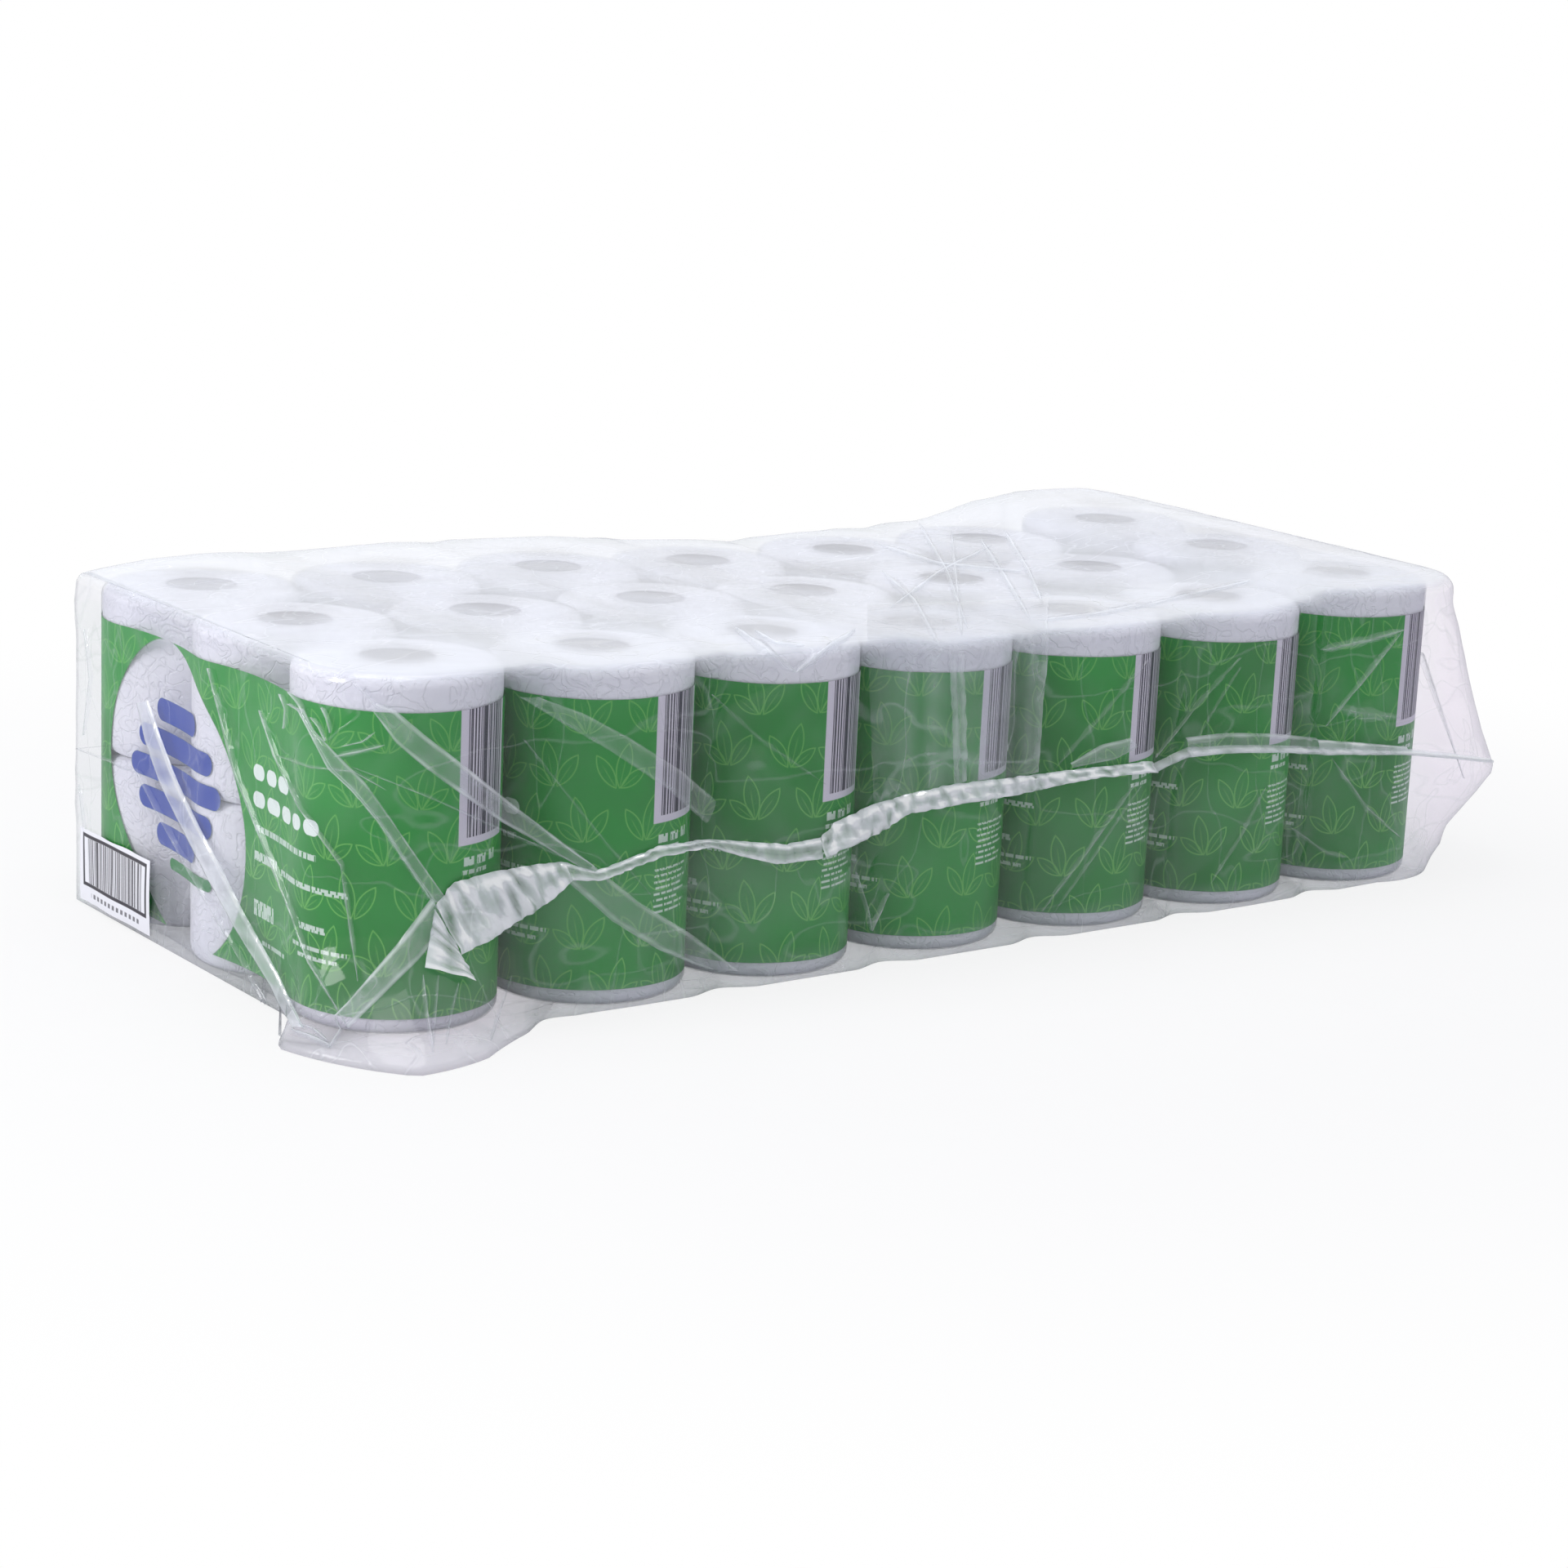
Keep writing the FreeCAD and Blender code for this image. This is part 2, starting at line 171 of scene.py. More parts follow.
def make_camera():
    data = bpy.data.cameras.new("main_camera")
    data.sensor_width = SENSOR_WIDTH
    data.lens = FOCAL_PIXELS / IMAGE_SIDE * SENSOR_WIDTH
    data.clip_end = CLIP_END
    camera = bpy.data.objects.new("main_camera", data)
    right, up, forward = camera_axes()
    turn = Matrix((right, up, -forward)).transposed()
    camera.matrix_world = Matrix.Translation(camera_place()) @ turn.to_4x4()
    bpy.context.collection.objects.link(camera)
    bpy.context.scene.camera = camera


# Node graphs

SOFT_EDGE = 0.0003
UV_NAME = "round_and_up"


class Graph:
    """Short calls for the nodes of one material, or of the world."""

    def __init__(self, name, world=False):
        self.owner = (bpy.data.worlds if world else bpy.data.materials).new(name)
        self.owner.use_nodes = True
        self.tree = self.owner.node_tree
        self.tree.nodes.clear()
        self.output = self.tree.nodes.new(f"ShaderNodeOutput{'World' if world else 'Material'}")

    def node(self, kind, inputs=None, **settings):
        made = self.tree.nodes.new(kind)
        for key, value in settings.items():
            setattr(made, key, value)
        for key, value in (inputs or {}).items():
            self.feed(made.inputs[key], value)
        return made

    def feed(self, socket, value):
        if isinstance(value, bpy.types.NodeSocket):
            self.tree.links.new(value, socket)
        elif value is not None:
            socket.default_value = value

    def math(self, operation, first, second=None, third=None, clamp=False):
        made = self.tree.nodes.new("ShaderNodeMath")
        made.operation = operation
        made.use_clamp = clamp
        for socket, value in zip(made.inputs, (first, second, third)):
            self.feed(socket, value)
        return made.outputs[0]

    def add(self, first, second):
        return self.math("ADD", first, second)

    def sub(self, first, second):
        return self.math("SUBTRACT", first, second)

    def mul(self, first, second):
        return self.math("MULTIPLY", first, second)

    def any_of(self, *masks):
        made = masks[0]
        for mask in masks[1:]:
            made = self.math("MAXIMUM", made, mask)
        return made

    def flip(self, mask):
        return self.sub(1.0, mask)

    def ramp(self, value, low, high, start=0.0, end=1.0):
        inputs = {"Value": value, "From Min": low, "From Max": high}
        inputs.update({"To Min": start, "To Max": end})
        return self.out("MapRange", inputs, interpolation_type="SMOOTHSTEP")

    def within(self, value, low, high, soft=SOFT_EDGE):
        """One between two values, with soft edges."""
        rise = self.ramp(value, low - soft, low + soft)
        fall = self.ramp(value, high - soft, high + soft, 1.0, 0.0)
        return self.mul(rise, fall)

    def near(self, value, middle, reach, soft=SOFT_EDGE):
        """One around a value, with soft edges."""
        away = self.math("ABSOLUTE", self.sub(value, middle))
        return self.ramp(away, reach - soft, reach + soft, 1.0, 0.0)

    def box(self, x, y, x0, x1, y0, y1):
        return self.mul(self.within(x, x0, x1), self.within(y, y0, y1))

    def pill(self, x, y, x0, x1, middle, reach):
        """Bar with round ends."""
        past = self.any_of(self.sub(x0 + reach, x), self.sub(x, x1 - reach), 0.0)
        away = self.length(past, self.sub(y, middle))
        return self.ramp(away, reach - SOFT_EDGE, reach + SOFT_EDGE, 1.0, 0.0)

    def length(self, x, y):
        return self.math("SQRT", self.add(self.mul(x, x), self.mul(y, y)))

    def mix(self, share, first, second):
        made = self.tree.nodes.new("ShaderNodeMix")
        made.data_type = "RGBA"
        self.feed(made.inputs[0], share)
        self.feed(made.inputs[6], first)
        self.feed(made.inputs[7], second)
        return made.outputs[2]

    def noise(self, vector, scale, detail=2.0, roughness=0.5, distortion=0.0):
        inputs = {"Vector": vector, "Scale": scale, "Detail": detail}
        inputs.update({"Roughness": roughness, "Distortion": distortion})
        return self.out("TexNoise", inputs)

    def stripes(self, along):
        """Noise in one direction, for bars of many widths."""
        inputs = {"W": along, "Scale": 1.0, "Detail": 0.0}
        return self.out("TexNoise", inputs, noise_dimensions="1D")

    def stretched(self, vector, scale, turn=(0, 0, 0)):
        return self.out("Mapping", {"Vector": vector, "Scale": scale, "Rotation": turn})

    def bump(self, height, distance, strength):
        return self.out("Bump", {"Height": height, "Distance": distance, "Strength": strength})

    def place(self, kind="Object"):
        return self.node("ShaderNodeTexCoord").outputs[kind]

    def split(self, vector):
        return tuple(self.node("ShaderNodeSeparateXYZ", {0: vector}).outputs)

    def unrolled(self):
        """Metres along a sheet and up, from its UV map."""
        return self.split(self.out("UVMap", {}, uv_map=UV_NAME))[:2]

    def attribute(self, name):
        return self.node("ShaderNodeAttribute", attribute_name=name).outputs["Fac"]

    def out(self, kind, inputs, **settings):
        """First output of a new node."""
        return self.node("ShaderNode" + kind, inputs, **settings).outputs[0]

    def solid(self, colour, roughness, normal, more=None):
        inputs = {"Base Color": colour, "Roughness": roughness, "Normal": normal, **(more or {})}
        return self.out("BsdfPrincipled", inputs)

    def blend(self, share, first, second):
        return self.out("MixShader", {0: share, 1: first, 2: second})

    def finish(self, surface):
        self.tree.links.new(surface, self.output.inputs["Surface"])
        return self.owner


EDGE_GLOSS = 0.55
HAZE_GLOSS = 0.42


def facing_gloss(g, low, normal):
    """Share of light that a thin clear sheet mirrors, alike from both of its sides."""
    facing = g.node("ShaderNodeLayerWeight", {"Blend": 0.5, "Normal": normal}).outputs["Facing"]
    return g.math("MULTIPLY_ADD", g.math("POWER", facing, 4.0), EDGE_GLOSS, low, clamp=True)


# Materials

PAPER_WHITE = (0.9, 0.895, 0.92, 1)
PAPER_CLOUD = (0.86, 0.855, 0.9, 1)
# Painted shade for the paper's embossed lines
PAPER_CURL_SHADE = (0.7, 0.7, 0.76, 1)
CARD_DARK = (0.40, 0.37, 0.43, 1)
CARD_LIGHT = (0.54, 0.51, 0.58, 1)
CARD_BAND = (0.34, 0.31, 0.38, 1)
GREEN = (0.006, 0.29, 0.026, 1)
GREEN_DEEP = (0.004, 0.20, 0.016, 1)
GREEN_LINE = (0.22, 0.62, 0.12, 1)
PRINT_WHITE = (0.82, 0.9, 0.84, 1)
BADGE_BLUE = (0.015, 0.055, 0.36, 1)
BADGE_GREEN = (0.02, 0.22, 0.05, 1)
STRIP_PALE = (0.66, 0.62, 0.70, 1)
STRIP_DARK = (0.03, 0.024, 0.045, 1)
WRAP_TINT = (0.975, 0.975, 0.985, 1)
FILM_TINT = (0.972, 0.974, 0.988, 1)
LOOSE_TINT = (0.985, 0.955, 1.0, 1)
# White of the film's veil, which also serves its painted highlights
FILM_HAZE = (0.92, 0.95, 0.985, 1)
LABEL_WHITE = (0.86, 0.86, 0.9, 1)
LABEL_INK = (0.03, 0.025, 0.035, 1)


def paper_material():
    g = Graph("embossed_paper")
    place = g.place()
    cells = g.out("TexVoronoi", {"Vector": place, "Scale": 260.0, "Randomness": 0.55})
    curls = g.near(g.noise(place, 80.0, 1.0, 0.5, 1.5), 0.5, 0.03, 0.025)
    cloud = g.noise(place, 14.0, 1.0)
    height = g.add(g.mul(cells, 0.6), g.mul(curls, -0.8))
    normal = g.bump(height, 0.0008, 0.6)
    shade = g.mix(g.ramp(cloud, 0.3, 0.7), PAPER_WHITE, PAPER_CLOUD)
    # Painted shade: the embossed lines are darkened a little, as shade in their grooves
    shade = g.mix(g.mul(curls, 0.12), shade, PAPER_CURL_SHADE)
    return g.finish(g.solid(shade, 0.9, normal, {"Sheen Weight": 0.3}))


def core_material():
    g = Graph("core_cardboard")
    place = g.place()
    fibres = g.noise(g.stretched(place, (1, 1, 0.2)), 500.0, 4.0, 0.7)
    bands = g.noise(g.stretched(place, (0.2, 0.2, 1)), 60.0, 2.0)
    shade = g.mix(g.mul(bands, 0.3), g.mix(fibres, CARD_DARK, CARD_LIGHT), CARD_BAND)
    return g.finish(g.solid(shade, 0.85, g.bump(fibres, 0.0004, 0.6)))


# The printed wrap is drawn in metres round the pack, from the middle of its front, and up
BAND_LOW = 0.0095
BAND_TOP_MARGIN = 0.0185
WINDOW_MIDDLE = (0.239, 0.087)
WINDOW_HALF = 0.078
WINDOW_RISE = 0.088
WINDOW_LEAN = 0.2
WINDOW_POWER = 1.8
BADGE_MIDDLE = (0.241, 0.098)
# Half widths of the badge's stripes and their heights over its middle
BADGE_STRIPES = (
    (0.028, 0.036), (0.048, 0.018), (0.056, 0.0), (0.048, -0.018), (0.028, -0.036),
)
STRIPE_REACH = 0.0066
BADGE_FOOT = (0.193, 0.252, 0.0475, 0.0034)
STRIP_BOX = (0.0060, 0.047, 0.101, 0.190)
CODE_BOX = (0.0115, 0.0440, 0.105, 0.190)
CODE_SCALE = 820.0
MOTIF_WIDTH = 0.034
MOTIF_HEIGHT = 0.030
# Leaves of a motif: step to the side, turn, length and bulge
LEAVES = (
    (-0.001, -0.55, 0.021, 0.0036), (0.001, 0.2, 0.025, 0.0042), (0.002, 0.95, 0.017, 0.0032),
)


def leaf(g, x, y, turn, length, bulge):
    """Outline of a pointed leaf that grows up from the origin, turned by an angle."""
    along = g.add(g.mul(x, math.sin(turn)), g.mul(y, math.cos(turn)))
    across = g.sub(g.mul(x, math.cos(turn)), g.mul(y, math.sin(turn)))
    along = g.sub(along, length / 2)
    radius = (length * length / 4 + bulge * bulge) / (2 * bulge)
    wide = g.add(g.math("ABSOLUTE", across), radius - bulge)
    edge = g.sub(g.length(wide, along), radius)
    rim = g.near(edge, 0.0, 0.00036)
    rib = g.mul(g.near(across, 0.0, 0.0003), g.ramp(edge, -0.001, 0.0, 1.0, 0.0))
    rib = g.mul(rib, g.ramp(along, 0.0, length * 0.3, 1.0, 0.0))
    return g.any_of(rim, g.mul(rib, 0.6))


def leaf_pattern(g, s, z):
    """Threes of outlined leaves on a staggered grid."""
    row = g.math("FLOOR", g.math("DIVIDE", z, MOTIF_HEIGHT))
    odd = g.math("MODULO", row, 2.0)
    shifted = g.add(s, g.mul(odd, MOTIF_WIDTH / 2))
    column = g.math("FLOOR", g.math("DIVIDE", shifted, MOTIF_WIDTH))
    x = g.sub(g.sub(shifted, g.mul(column, MOTIF_WIDTH)), MOTIF_WIDTH / 2)
    y = g.sub(z, g.mul(row, MOTIF_HEIGHT))
    side = g.sub(g.mul(g.math("MODULO", g.math("ABSOLUTE", g.add(column, row)), 2.0), 2.0), 1.0)
    x = g.mul(x, side)
    y = g.sub(y, 0.003)
    return g.any_of(*[leaf(g, g.sub(x, step), y, *shape) for step, *shape in LEAVES])


def window_mask(g, side, z):
    """Clear window on the pack's side, an egg that leans to the back."""
    lift = g.sub(z, WINDOW_MIDDLE[1])
    middle = g.add(g.mul(lift, WINDOW_LEAN), WINDOW_MIDDLE[0])
    wide = g.math("DIVIDE", g.math("ABSOLUTE", g.sub(side, middle)), WINDOW_HALF)
    tall = g.math("DIVIDE", g.math("ABSOLUTE", lift), WINDOW_RISE)
    egg = g.add(g.math("POWER", wide, WINDOW_POWER), g.math("POWER", tall, WINDOW_POWER))
    return g.ramp(egg, 0.985, 1.015, 1.0, 0.0)


def bar_code(g, s, z, low, scale, box):
    """Upright bars of many widths, without digits."""
    line = g.stripes(g.mul(s, scale))
    return g.mul(g.ramp(line, low, low + 0.02), g.box(s, z, *box))


WORD_PITCH = 0.0022
WORD_ROW = 0.0031


def text_bars(g, s, z, bars):
    """Broken bars in the place of words. Each is start, end, middle height, half thickness."""
    made = [g.box(s, z, start, end, y - reach, y + reach) for start, end, y, reach in bars]
    row = g.mul(g.math("SNAP", z, WORD_ROW), 2300.0)
    gaps = g.stripes(g.add(g.math("DIVIDE", s, WORD_PITCH), row))
    return g.mul(g.any_of(*made), g.ramp(gaps, 0.36, 0.40))


def in_metres(*bars):
    return [tuple(value * MM for value in bar) for bar in bars]


# Bold bars by their row's height over the floor and by their ends, in millimetres
BOLD_REACH = 4.3
BOLD_ROWS = (
    (122.5, ((-152, -139.5), (-136.5, -124), (-121.5, -106.5))),
    (107.5, ((-152, -138.5), (-135.5, -118.5), (-115.5, -102), (-99, -89), (-86, -73))),
)
BOLD_BARS = in_metres(*[(*ends, y, BOLD_REACH) for y, row in BOLD_ROWS for ends in row])
SMALL_WIDTHS = (30, 27, 31, 25, 30, 21, 29, 26)
# Fine bars, also in millimetres: the lines on the left, the block of small print and its icons
FINE_BARS = in_metres(
    (-150, -75, 91.5, 1.7), (-150, -122, 76, 2.6), (-116, -54, 74.5, 1.6),
    (-150, -126, 47, 4.4), (-89, -67, 53, 1.8), (-96, -54, 42, 1.1), (-90, -60, 37, 1.1),
    (-140, -110, 29, 1.2),
    *[(8, 8 + width, 74.5 - 3.4 * line, 0.65) for line, width in enumerate(SMALL_WIDTHS)],
    (10, 17.5, 92, 2.4), (20, 27.5, 92, 2.4), (31, 37, 92.5, 2.8), (9, 18, 86.2, 1.2),
    (19.5, 28.5, 86.2, 1.2),
)


def wrap_material(top):
    g = Graph("printed_wrap")
    s, z = g.unrolled()
    side = g.math("ABSOLUTE", s)
    place = g.place()
    waver = g.mul(g.sub(g.noise(place, 12.0, 2.0), 0.5), 0.0024)
    level = g.add(z, waver)
    band = g.within(level, BAND_LOW, top - BAND_TOP_MARGIN, 0.00025)
    window = window_mask(g, side, z)
    bold = g.any_of(*[g.pill(s, z, *bar) for bar in BOLD_BARS])
    light = text_bars(g, s, z, FINE_BARS)
    x, y = g.sub(side, BADGE_MIDDLE[0]), g.sub(z, BADGE_MIDDLE[1])
    badge = g.any_of(*[g.pill(x, y, -w, w, h, STRIPE_REACH) for w, h in BADGE_STRIPES])
    foot = g.pill(side, z, *BADGE_FOOT)
    sprig = g.mul(leaf_pattern(g, s, z), g.ramp(level, 0.02, 0.16, 1.0, 0.75))
    green = g.mix(g.ramp(g.noise(place, 9.0, 3.0), 0.35, 0.7), GREEN, GREEN_DEEP)
    green = g.mix(g.mul(sprig, 0.58), green, GREEN_LINE)
    green = g.mix(g.mul(light, 0.72), green, PRINT_WHITE)
    green = g.mix(bold, green, PRINT_WHITE)
    bars = bar_code(g, s, z, 0.45, CODE_SCALE, CODE_BOX)
    pale = g.mix(bars, STRIP_PALE, STRIP_DARK)
    outside = g.mix(g.box(s, z, *STRIP_BOX), green, pale)
    inside = g.mix(badge, BADGE_GREEN, BADGE_BLUE)
    shade = g.mix(window, outside, inside)
    ink = g.mul(band, g.any_of(g.flip(window), g.mul(window, g.any_of(badge, foot))))
    wrinkle = g.noise(g.stretched(place, (1, 1, 0.25)), 60.0, 2.0, 0.6)
    normal = g.bump(wrinkle, 0.0011, 0.35)
    printed = g.solid(shade, 0.34, normal, {"Specular IOR Level": 0.35})
    clear = g.out("BsdfTransparent", {"Color": WRAP_TINT})
    mirror = g.out("BsdfGlossy", {"Roughness": 0.16, "Normal": normal})
    film = g.blend(facing_gloss(g, 0.05, normal), clear, mirror)
    return g.finish(g.blend(ink, film, printed))


def film_material(name, fine, gloss, through):
    """Clear film. Its vertices say how hazy it is and how much it tints what is behind. That
    haze is partly painted highlight and sheen.
    """
    g = Graph(name)
    place = g.place()
    long_noise = g.noise(g.stretched(place, (0.35, 1.0, 1.0), (0, 0.5, 0)), 19.0, 2.0)
    steep_noise = g.noise(g.stretched(place, (1.0, 1.0, 0.3), (0, -0.45, 0)), 23.0, 2.0)
    crease = g.near(long_noise, 0.5, 0.006, 0.006)
    crease = g.add(crease, g.near(steep_noise, 0.47, 0.006, 0.006))
    height = g.add(g.add(long_noise, steep_noise), g.mul(crease, 0.1))
    normal = g.bump(height, fine, 0.7)
    haze_and_highlight = g.math("MULTIPLY_ADD", crease, 0.10, g.attribute("haze_and_highlight"))
    haze_and_highlight = g.math("MINIMUM", haze_and_highlight, 0.97)
    tint = g.mix(g.attribute("loose"), FILM_TINT, LOOSE_TINT)
    clear = g.out("BsdfTransparent", {"Color": tint})
    veil = g.out("BsdfDiffuse", {"Color": FILM_HAZE})
    glow = g.out("BsdfTranslucent", {"Color": FILM_HAZE})
    body = g.blend(haze_and_highlight, clear, g.blend(through, veil, glow))
    mirror = g.out("BsdfGlossy", {"Roughness": 0.07, "Normal": normal})
    shine = g.ramp(haze_and_highlight, 0.7, 0.95, gloss, gloss + HAZE_GLOSS)
    return g.finish(g.blend(facing_gloss(g, shine, normal), body, mirror))


LABEL_SIZE = (0.092, 0.044)
LABEL_CODE_SCALE = 900.0
# The printed frame's margins at the sides, below and above, and the width of its line
LABEL_MARGINS = (0.004, 0.0095, 0.0025)
LABEL_LINE = 0.0022
CODE_MARGIN = 0.011
DASH_BOX = (0.014, LABEL_SIZE[0] - 0.014, 0.0035, 0.0062)


def label_material():
    g = Graph("barcode_label")
    x, y = g.unrolled()
    wide, tall = LABEL_SIZE
    aside, below, above = LABEL_MARGINS
    outer = g.box(x, y, aside, wide - aside, below, tall - above)
    aside, below, above = (margin + LABEL_LINE for margin in LABEL_MARGINS)
    inner = g.box(x, y, aside, wide - aside, below, tall - above)
    code_box = (CODE_MARGIN, wide - CODE_MARGIN, below, tall - above)
    bars = bar_code(g, x, y, 0.485, LABEL_CODE_SCALE, code_box)
    dash = g.math("FRACT", g.mul(x, 190.0))
    dashes = g.mul(g.within(dash, 0.2, 0.75, 0.05), g.box(x, y, *DASH_BOX))
    ink = g.any_of(g.mul(outer, g.flip(inner)), bars, g.mul(dashes, 0.8))
    grain = g.noise(g.place(), 900.0, 2.0)
    shade = g.mix(ink, LABEL_WHITE, LABEL_INK)
    return g.finish(g.solid(shade, 0.45, g.bump(grain, 0.0001, 0.3)))


# Meshes

def add_object(name, points, faces, material):
    mesh = bpy.data.meshes.new(name)
    mesh.from_pydata([tuple(p) for p in points], [], [tuple(f) for f in faces])
    mesh.materials.append(material)
    mesh.polygons.foreach_set("use_smooth", [True] * len(mesh.polygons))
    mesh.update()
    made = bpy.data.objects.new(name, mesh)
    bpy.context.collection.objects.link(made)
    return made


def carry(piece, slot, *nodes):
    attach(piece, "root")
    if nodes:
        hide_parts(*nodes)


def set_values(piece, name, values):
    layer = piece.data.attributes.new(name, "FLOAT", "POINT")
    layer.data.foreach_set("value", np.asarray(values, np.float32))


def set_uv(piece, uv):
    layer = piece.data.uv_layers.new(name=UV_NAME)
    layer.data.foreach_set("uv", np.asarray(uv, np.float32).ravel())


def grid_faces(rows, flip=False):
    """Quads and triangles of a grid whose first and last rows may be one point."""
    faces = []
    for here, after in zip(rows, rows[1:]):
        for k in range(len(here) - 1):
            corners = [here[k], here[k + 1], after[k + 1], after[k]]
            kept = [c for n, c in enumerate(corners) if c != corners[n - 1]]
            if len(kept) > 2:
                faces.append(kept[::-1] if flip else kept)
    return faces


def clamp(value):
    return min(1.0, max(0.0, value))


def rough(x, y, z):
    """Smooth noise at one place, between about -1 and 1."""
    return noise.noise(Vector((x, y, z)))


def quarter_arc(steps):
    """Sines and cosines of even steps from nothing to a quarter turn."""
    return [(math.sin(a), math.cos(a)) for a in np.linspace(0, QUARTER, steps + 1)]


# Rolls

AROUND = 72
RIM_STEPS = 5
# How far the soft paper sinks in here and there, and how much more at its top
PAPER_SINK = 0.00028
TOP_SINK = 1.6


def roll_profile(height):
    """Section of a roll, from the foot of its bore out, up, in and back down."""
    flat = ROLL_RADIUS - SOFT_RIM
    rings = np.linspace(CORE_RADIUS, flat, 5)
    arc = quarter_arc(RIM_STEPS)[1:]
    section = [(r, 0.0) for r in rings]
    section += [(flat + SOFT_RIM * s, SOFT_RIM * (1 - c)) for s, c in arc]
    section += [(ROLL_RADIUS, rise) for rise in np.linspace(SOFT_RIM, height - SOFT_RIM, 7)[1:]]
    section += [(flat + SOFT_RIM * c, height - SOFT_RIM * (1 - s)) for s, c in arc]
    section += [(r, height) for r in rings[::-1][1:]]
    return section


def make_roll(name, place, height, material, seed):
    section = roll_profile(height)
    count = len(section)
    points, faces = [], []
    for turn in range(AROUND):
        angle = 2 * math.pi * turn / AROUND
        spot = Vector((math.cos(angle), math.sin(angle), 0))
        for radius, rise in section:
            p = spot * radius + Vector((0, 0, rise))
            if radius > CORE_RADIUS:
                soft = noise.noise(p * 45 + Vector((seed, 0, 0))) + 1
                soft += 0.5 * (noise.noise(p * 140 + Vector((0, seed, 0))) + 1)
                sink = PAPER_SINK * soft
                if 0 < rise < height:
                    p -= spot * sink
                if rise > height / 2:
                    p.z -= sink * TOP_SINK * (rise / height * 2 - 1)
            points.append(p + place)
        here, after = turn * count, (turn + 1) % AROUND * count
        for k in range(count):
            up = (k + 1) % count
            faces.append((here + k, after + k, after + up, here + up))
    made = add_object(name + "_paper", points, faces, material)
    carry(made, "paper", name)


def make_rolls(material):
    for pack in range(PACKS):
        for row, row_name in enumerate(ROW_NAMES):
            for layer, layer_name in enumerate(LAYER_NAMES):
                name = f"roll_p{pack + 1}_{row_name}_{layer_name}"
                low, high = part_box(name)
                place = Vector(((low.x + high.x) / 2, (low.y + high.y) / 2, low.z))
                make_roll(name, place, high.z - low.z, material, pack * 6 + row * 2 + layer)


# Small packs' wraps

def half_outline(radius, step):
    """Right half of a pack's outline as places, outward steps and lengths from the front."""
    half = ROW_PITCH / 2
    reach = math.sqrt((radius + VALLEY_RADIUS) ** 2 - half * half)
    lean = math.atan2(half, reach)
    arcs = (
        (0.0, -ROW_PITCH, radius, -QUARTER, lean, 1),
        (reach, -half, VALLEY_RADIUS, math.pi + lean, math.pi - lean, -1),
        (0.0, 0.0, radius, -lean, lean, 1),
        (reach, half, VALLEY_RADIUS, math.pi + lean, math.pi - lean, -1),
        (0.0, ROW_PITCH, radius, -lean, QUARTER, 1),
    )
    places, outs, lengths = [], [], []
    travelled = 0.0
    for x, y, r, start, end, sign in arcs:
        length = abs(end - start) * r
        count = max(2, math.ceil(length / step))
        first = 0 if not places else 1
        for k in range(first, count + 1):
            angle = start + (end - start) * k / count
            c, s = math.cos(angle), math.sin(angle)
            places.append((x + r * c, y + r * s))
            outs.append((sign * c, sign * s))
            lengths.append(travelled + length * k / count)
        travelled += length
    return np.array(places), np.array(outs), np.array(lengths)


CAP_ACROSS = 14
WRAP_STEP = 0.0032
WRAP_ROWS = 25


def make_wrap(pack):
    places, outs, lengths = half_outline(WRAP_RADIUS, WRAP_STEP)
    n = len(places) - 1
    mirror = np.array((-1.0, 1.0))
    ring = np.vstack([places, places[1:n][::-1] * mirror])
    out = np.vstack([outs, outs[1:n][::-1] * mirror])
    total = 2 * n
    top = PACK_TOP[pack] - PACK_BASE
    arc = quarter_arc(RIM_STEPS)
    levels = [(WRAP_RIM * (1 - s), WRAP_RIM * (1 - c)) for s, c in arc]
    levels += [(0.0, rise) for rise in np.linspace(WRAP_RIM, top - WRAP_RIM, WRAP_ROWS)[1:-1]]
    levels += [(WRAP_RIM * (1 - c), top - WRAP_RIM * (1 - s)) for s, c in arc]
    middle = np.array((PACK_X[pack], PACK_Y[pack]))
    points, faces, uv = [], [], []
    for inset, rise in levels:
        points += [(x, y, PACK_BASE + rise) for x, y in middle + ring - out * inset]
    starts = [*lengths[:n], *-lengths[:0:-1]]
    ends = [*lengths[1:], *-lengths[-2::-1]]
    for level, ((_, z0), (_, z1)) in enumerate(zip(levels, levels[1:])):
        base = level * total
        for c, (s0, s1) in enumerate(zip(starts, ends)):
            after = (c + 1) % total
            faces.append((base + c, base + after, base + total + after, base + total + c))
            uv += [(s0, z0), (s1, z0), (s1, z1), (s0, z1)]
    for level, up in ((len(levels) - 1, True), (0, False)):
        base = level * total
        rows = [[base] * (CAP_ACROSS + 1)]
        for k in range(1, n):
            left = points[base + total - k]
            right = points[base + k]
            row = [base + total - k]
            for j in range(1, CAP_ACROSS):
                share = j / CAP_ACROSS
                x = left[0] + (right[0] - left[0]) * share
                y = left[1]
                dip = 0.0
                for roll in (-1, 0, 1):
                    away = math.hypot(x - middle[0], y - middle[1] - roll * ROW_PITCH)
                    dip = max(dip, 1 - (away / DIP_RADIUS) ** 2)
                lower = DIP_DEPTH * dip if up else 0.0
                row.append(len(points))
                points.append((x, y, left[2] - lower))
            row.append(base + k)
            rows.append(row)
        rows.append([base + n] * (CAP_ACROSS + 1))
        made = grid_faces(rows, not up)
        faces += made
        uv += [(points[c][0], levels[level][1]) for corners in made for c in corners]
    name = f"inner_wrap_{pack + 1}"
    wrap = add_object(name + "_film", points, faces, wrap_material(top))
    set_uv(wrap, uv)
    carry(wrap, "printed_film", name)


# Outer film

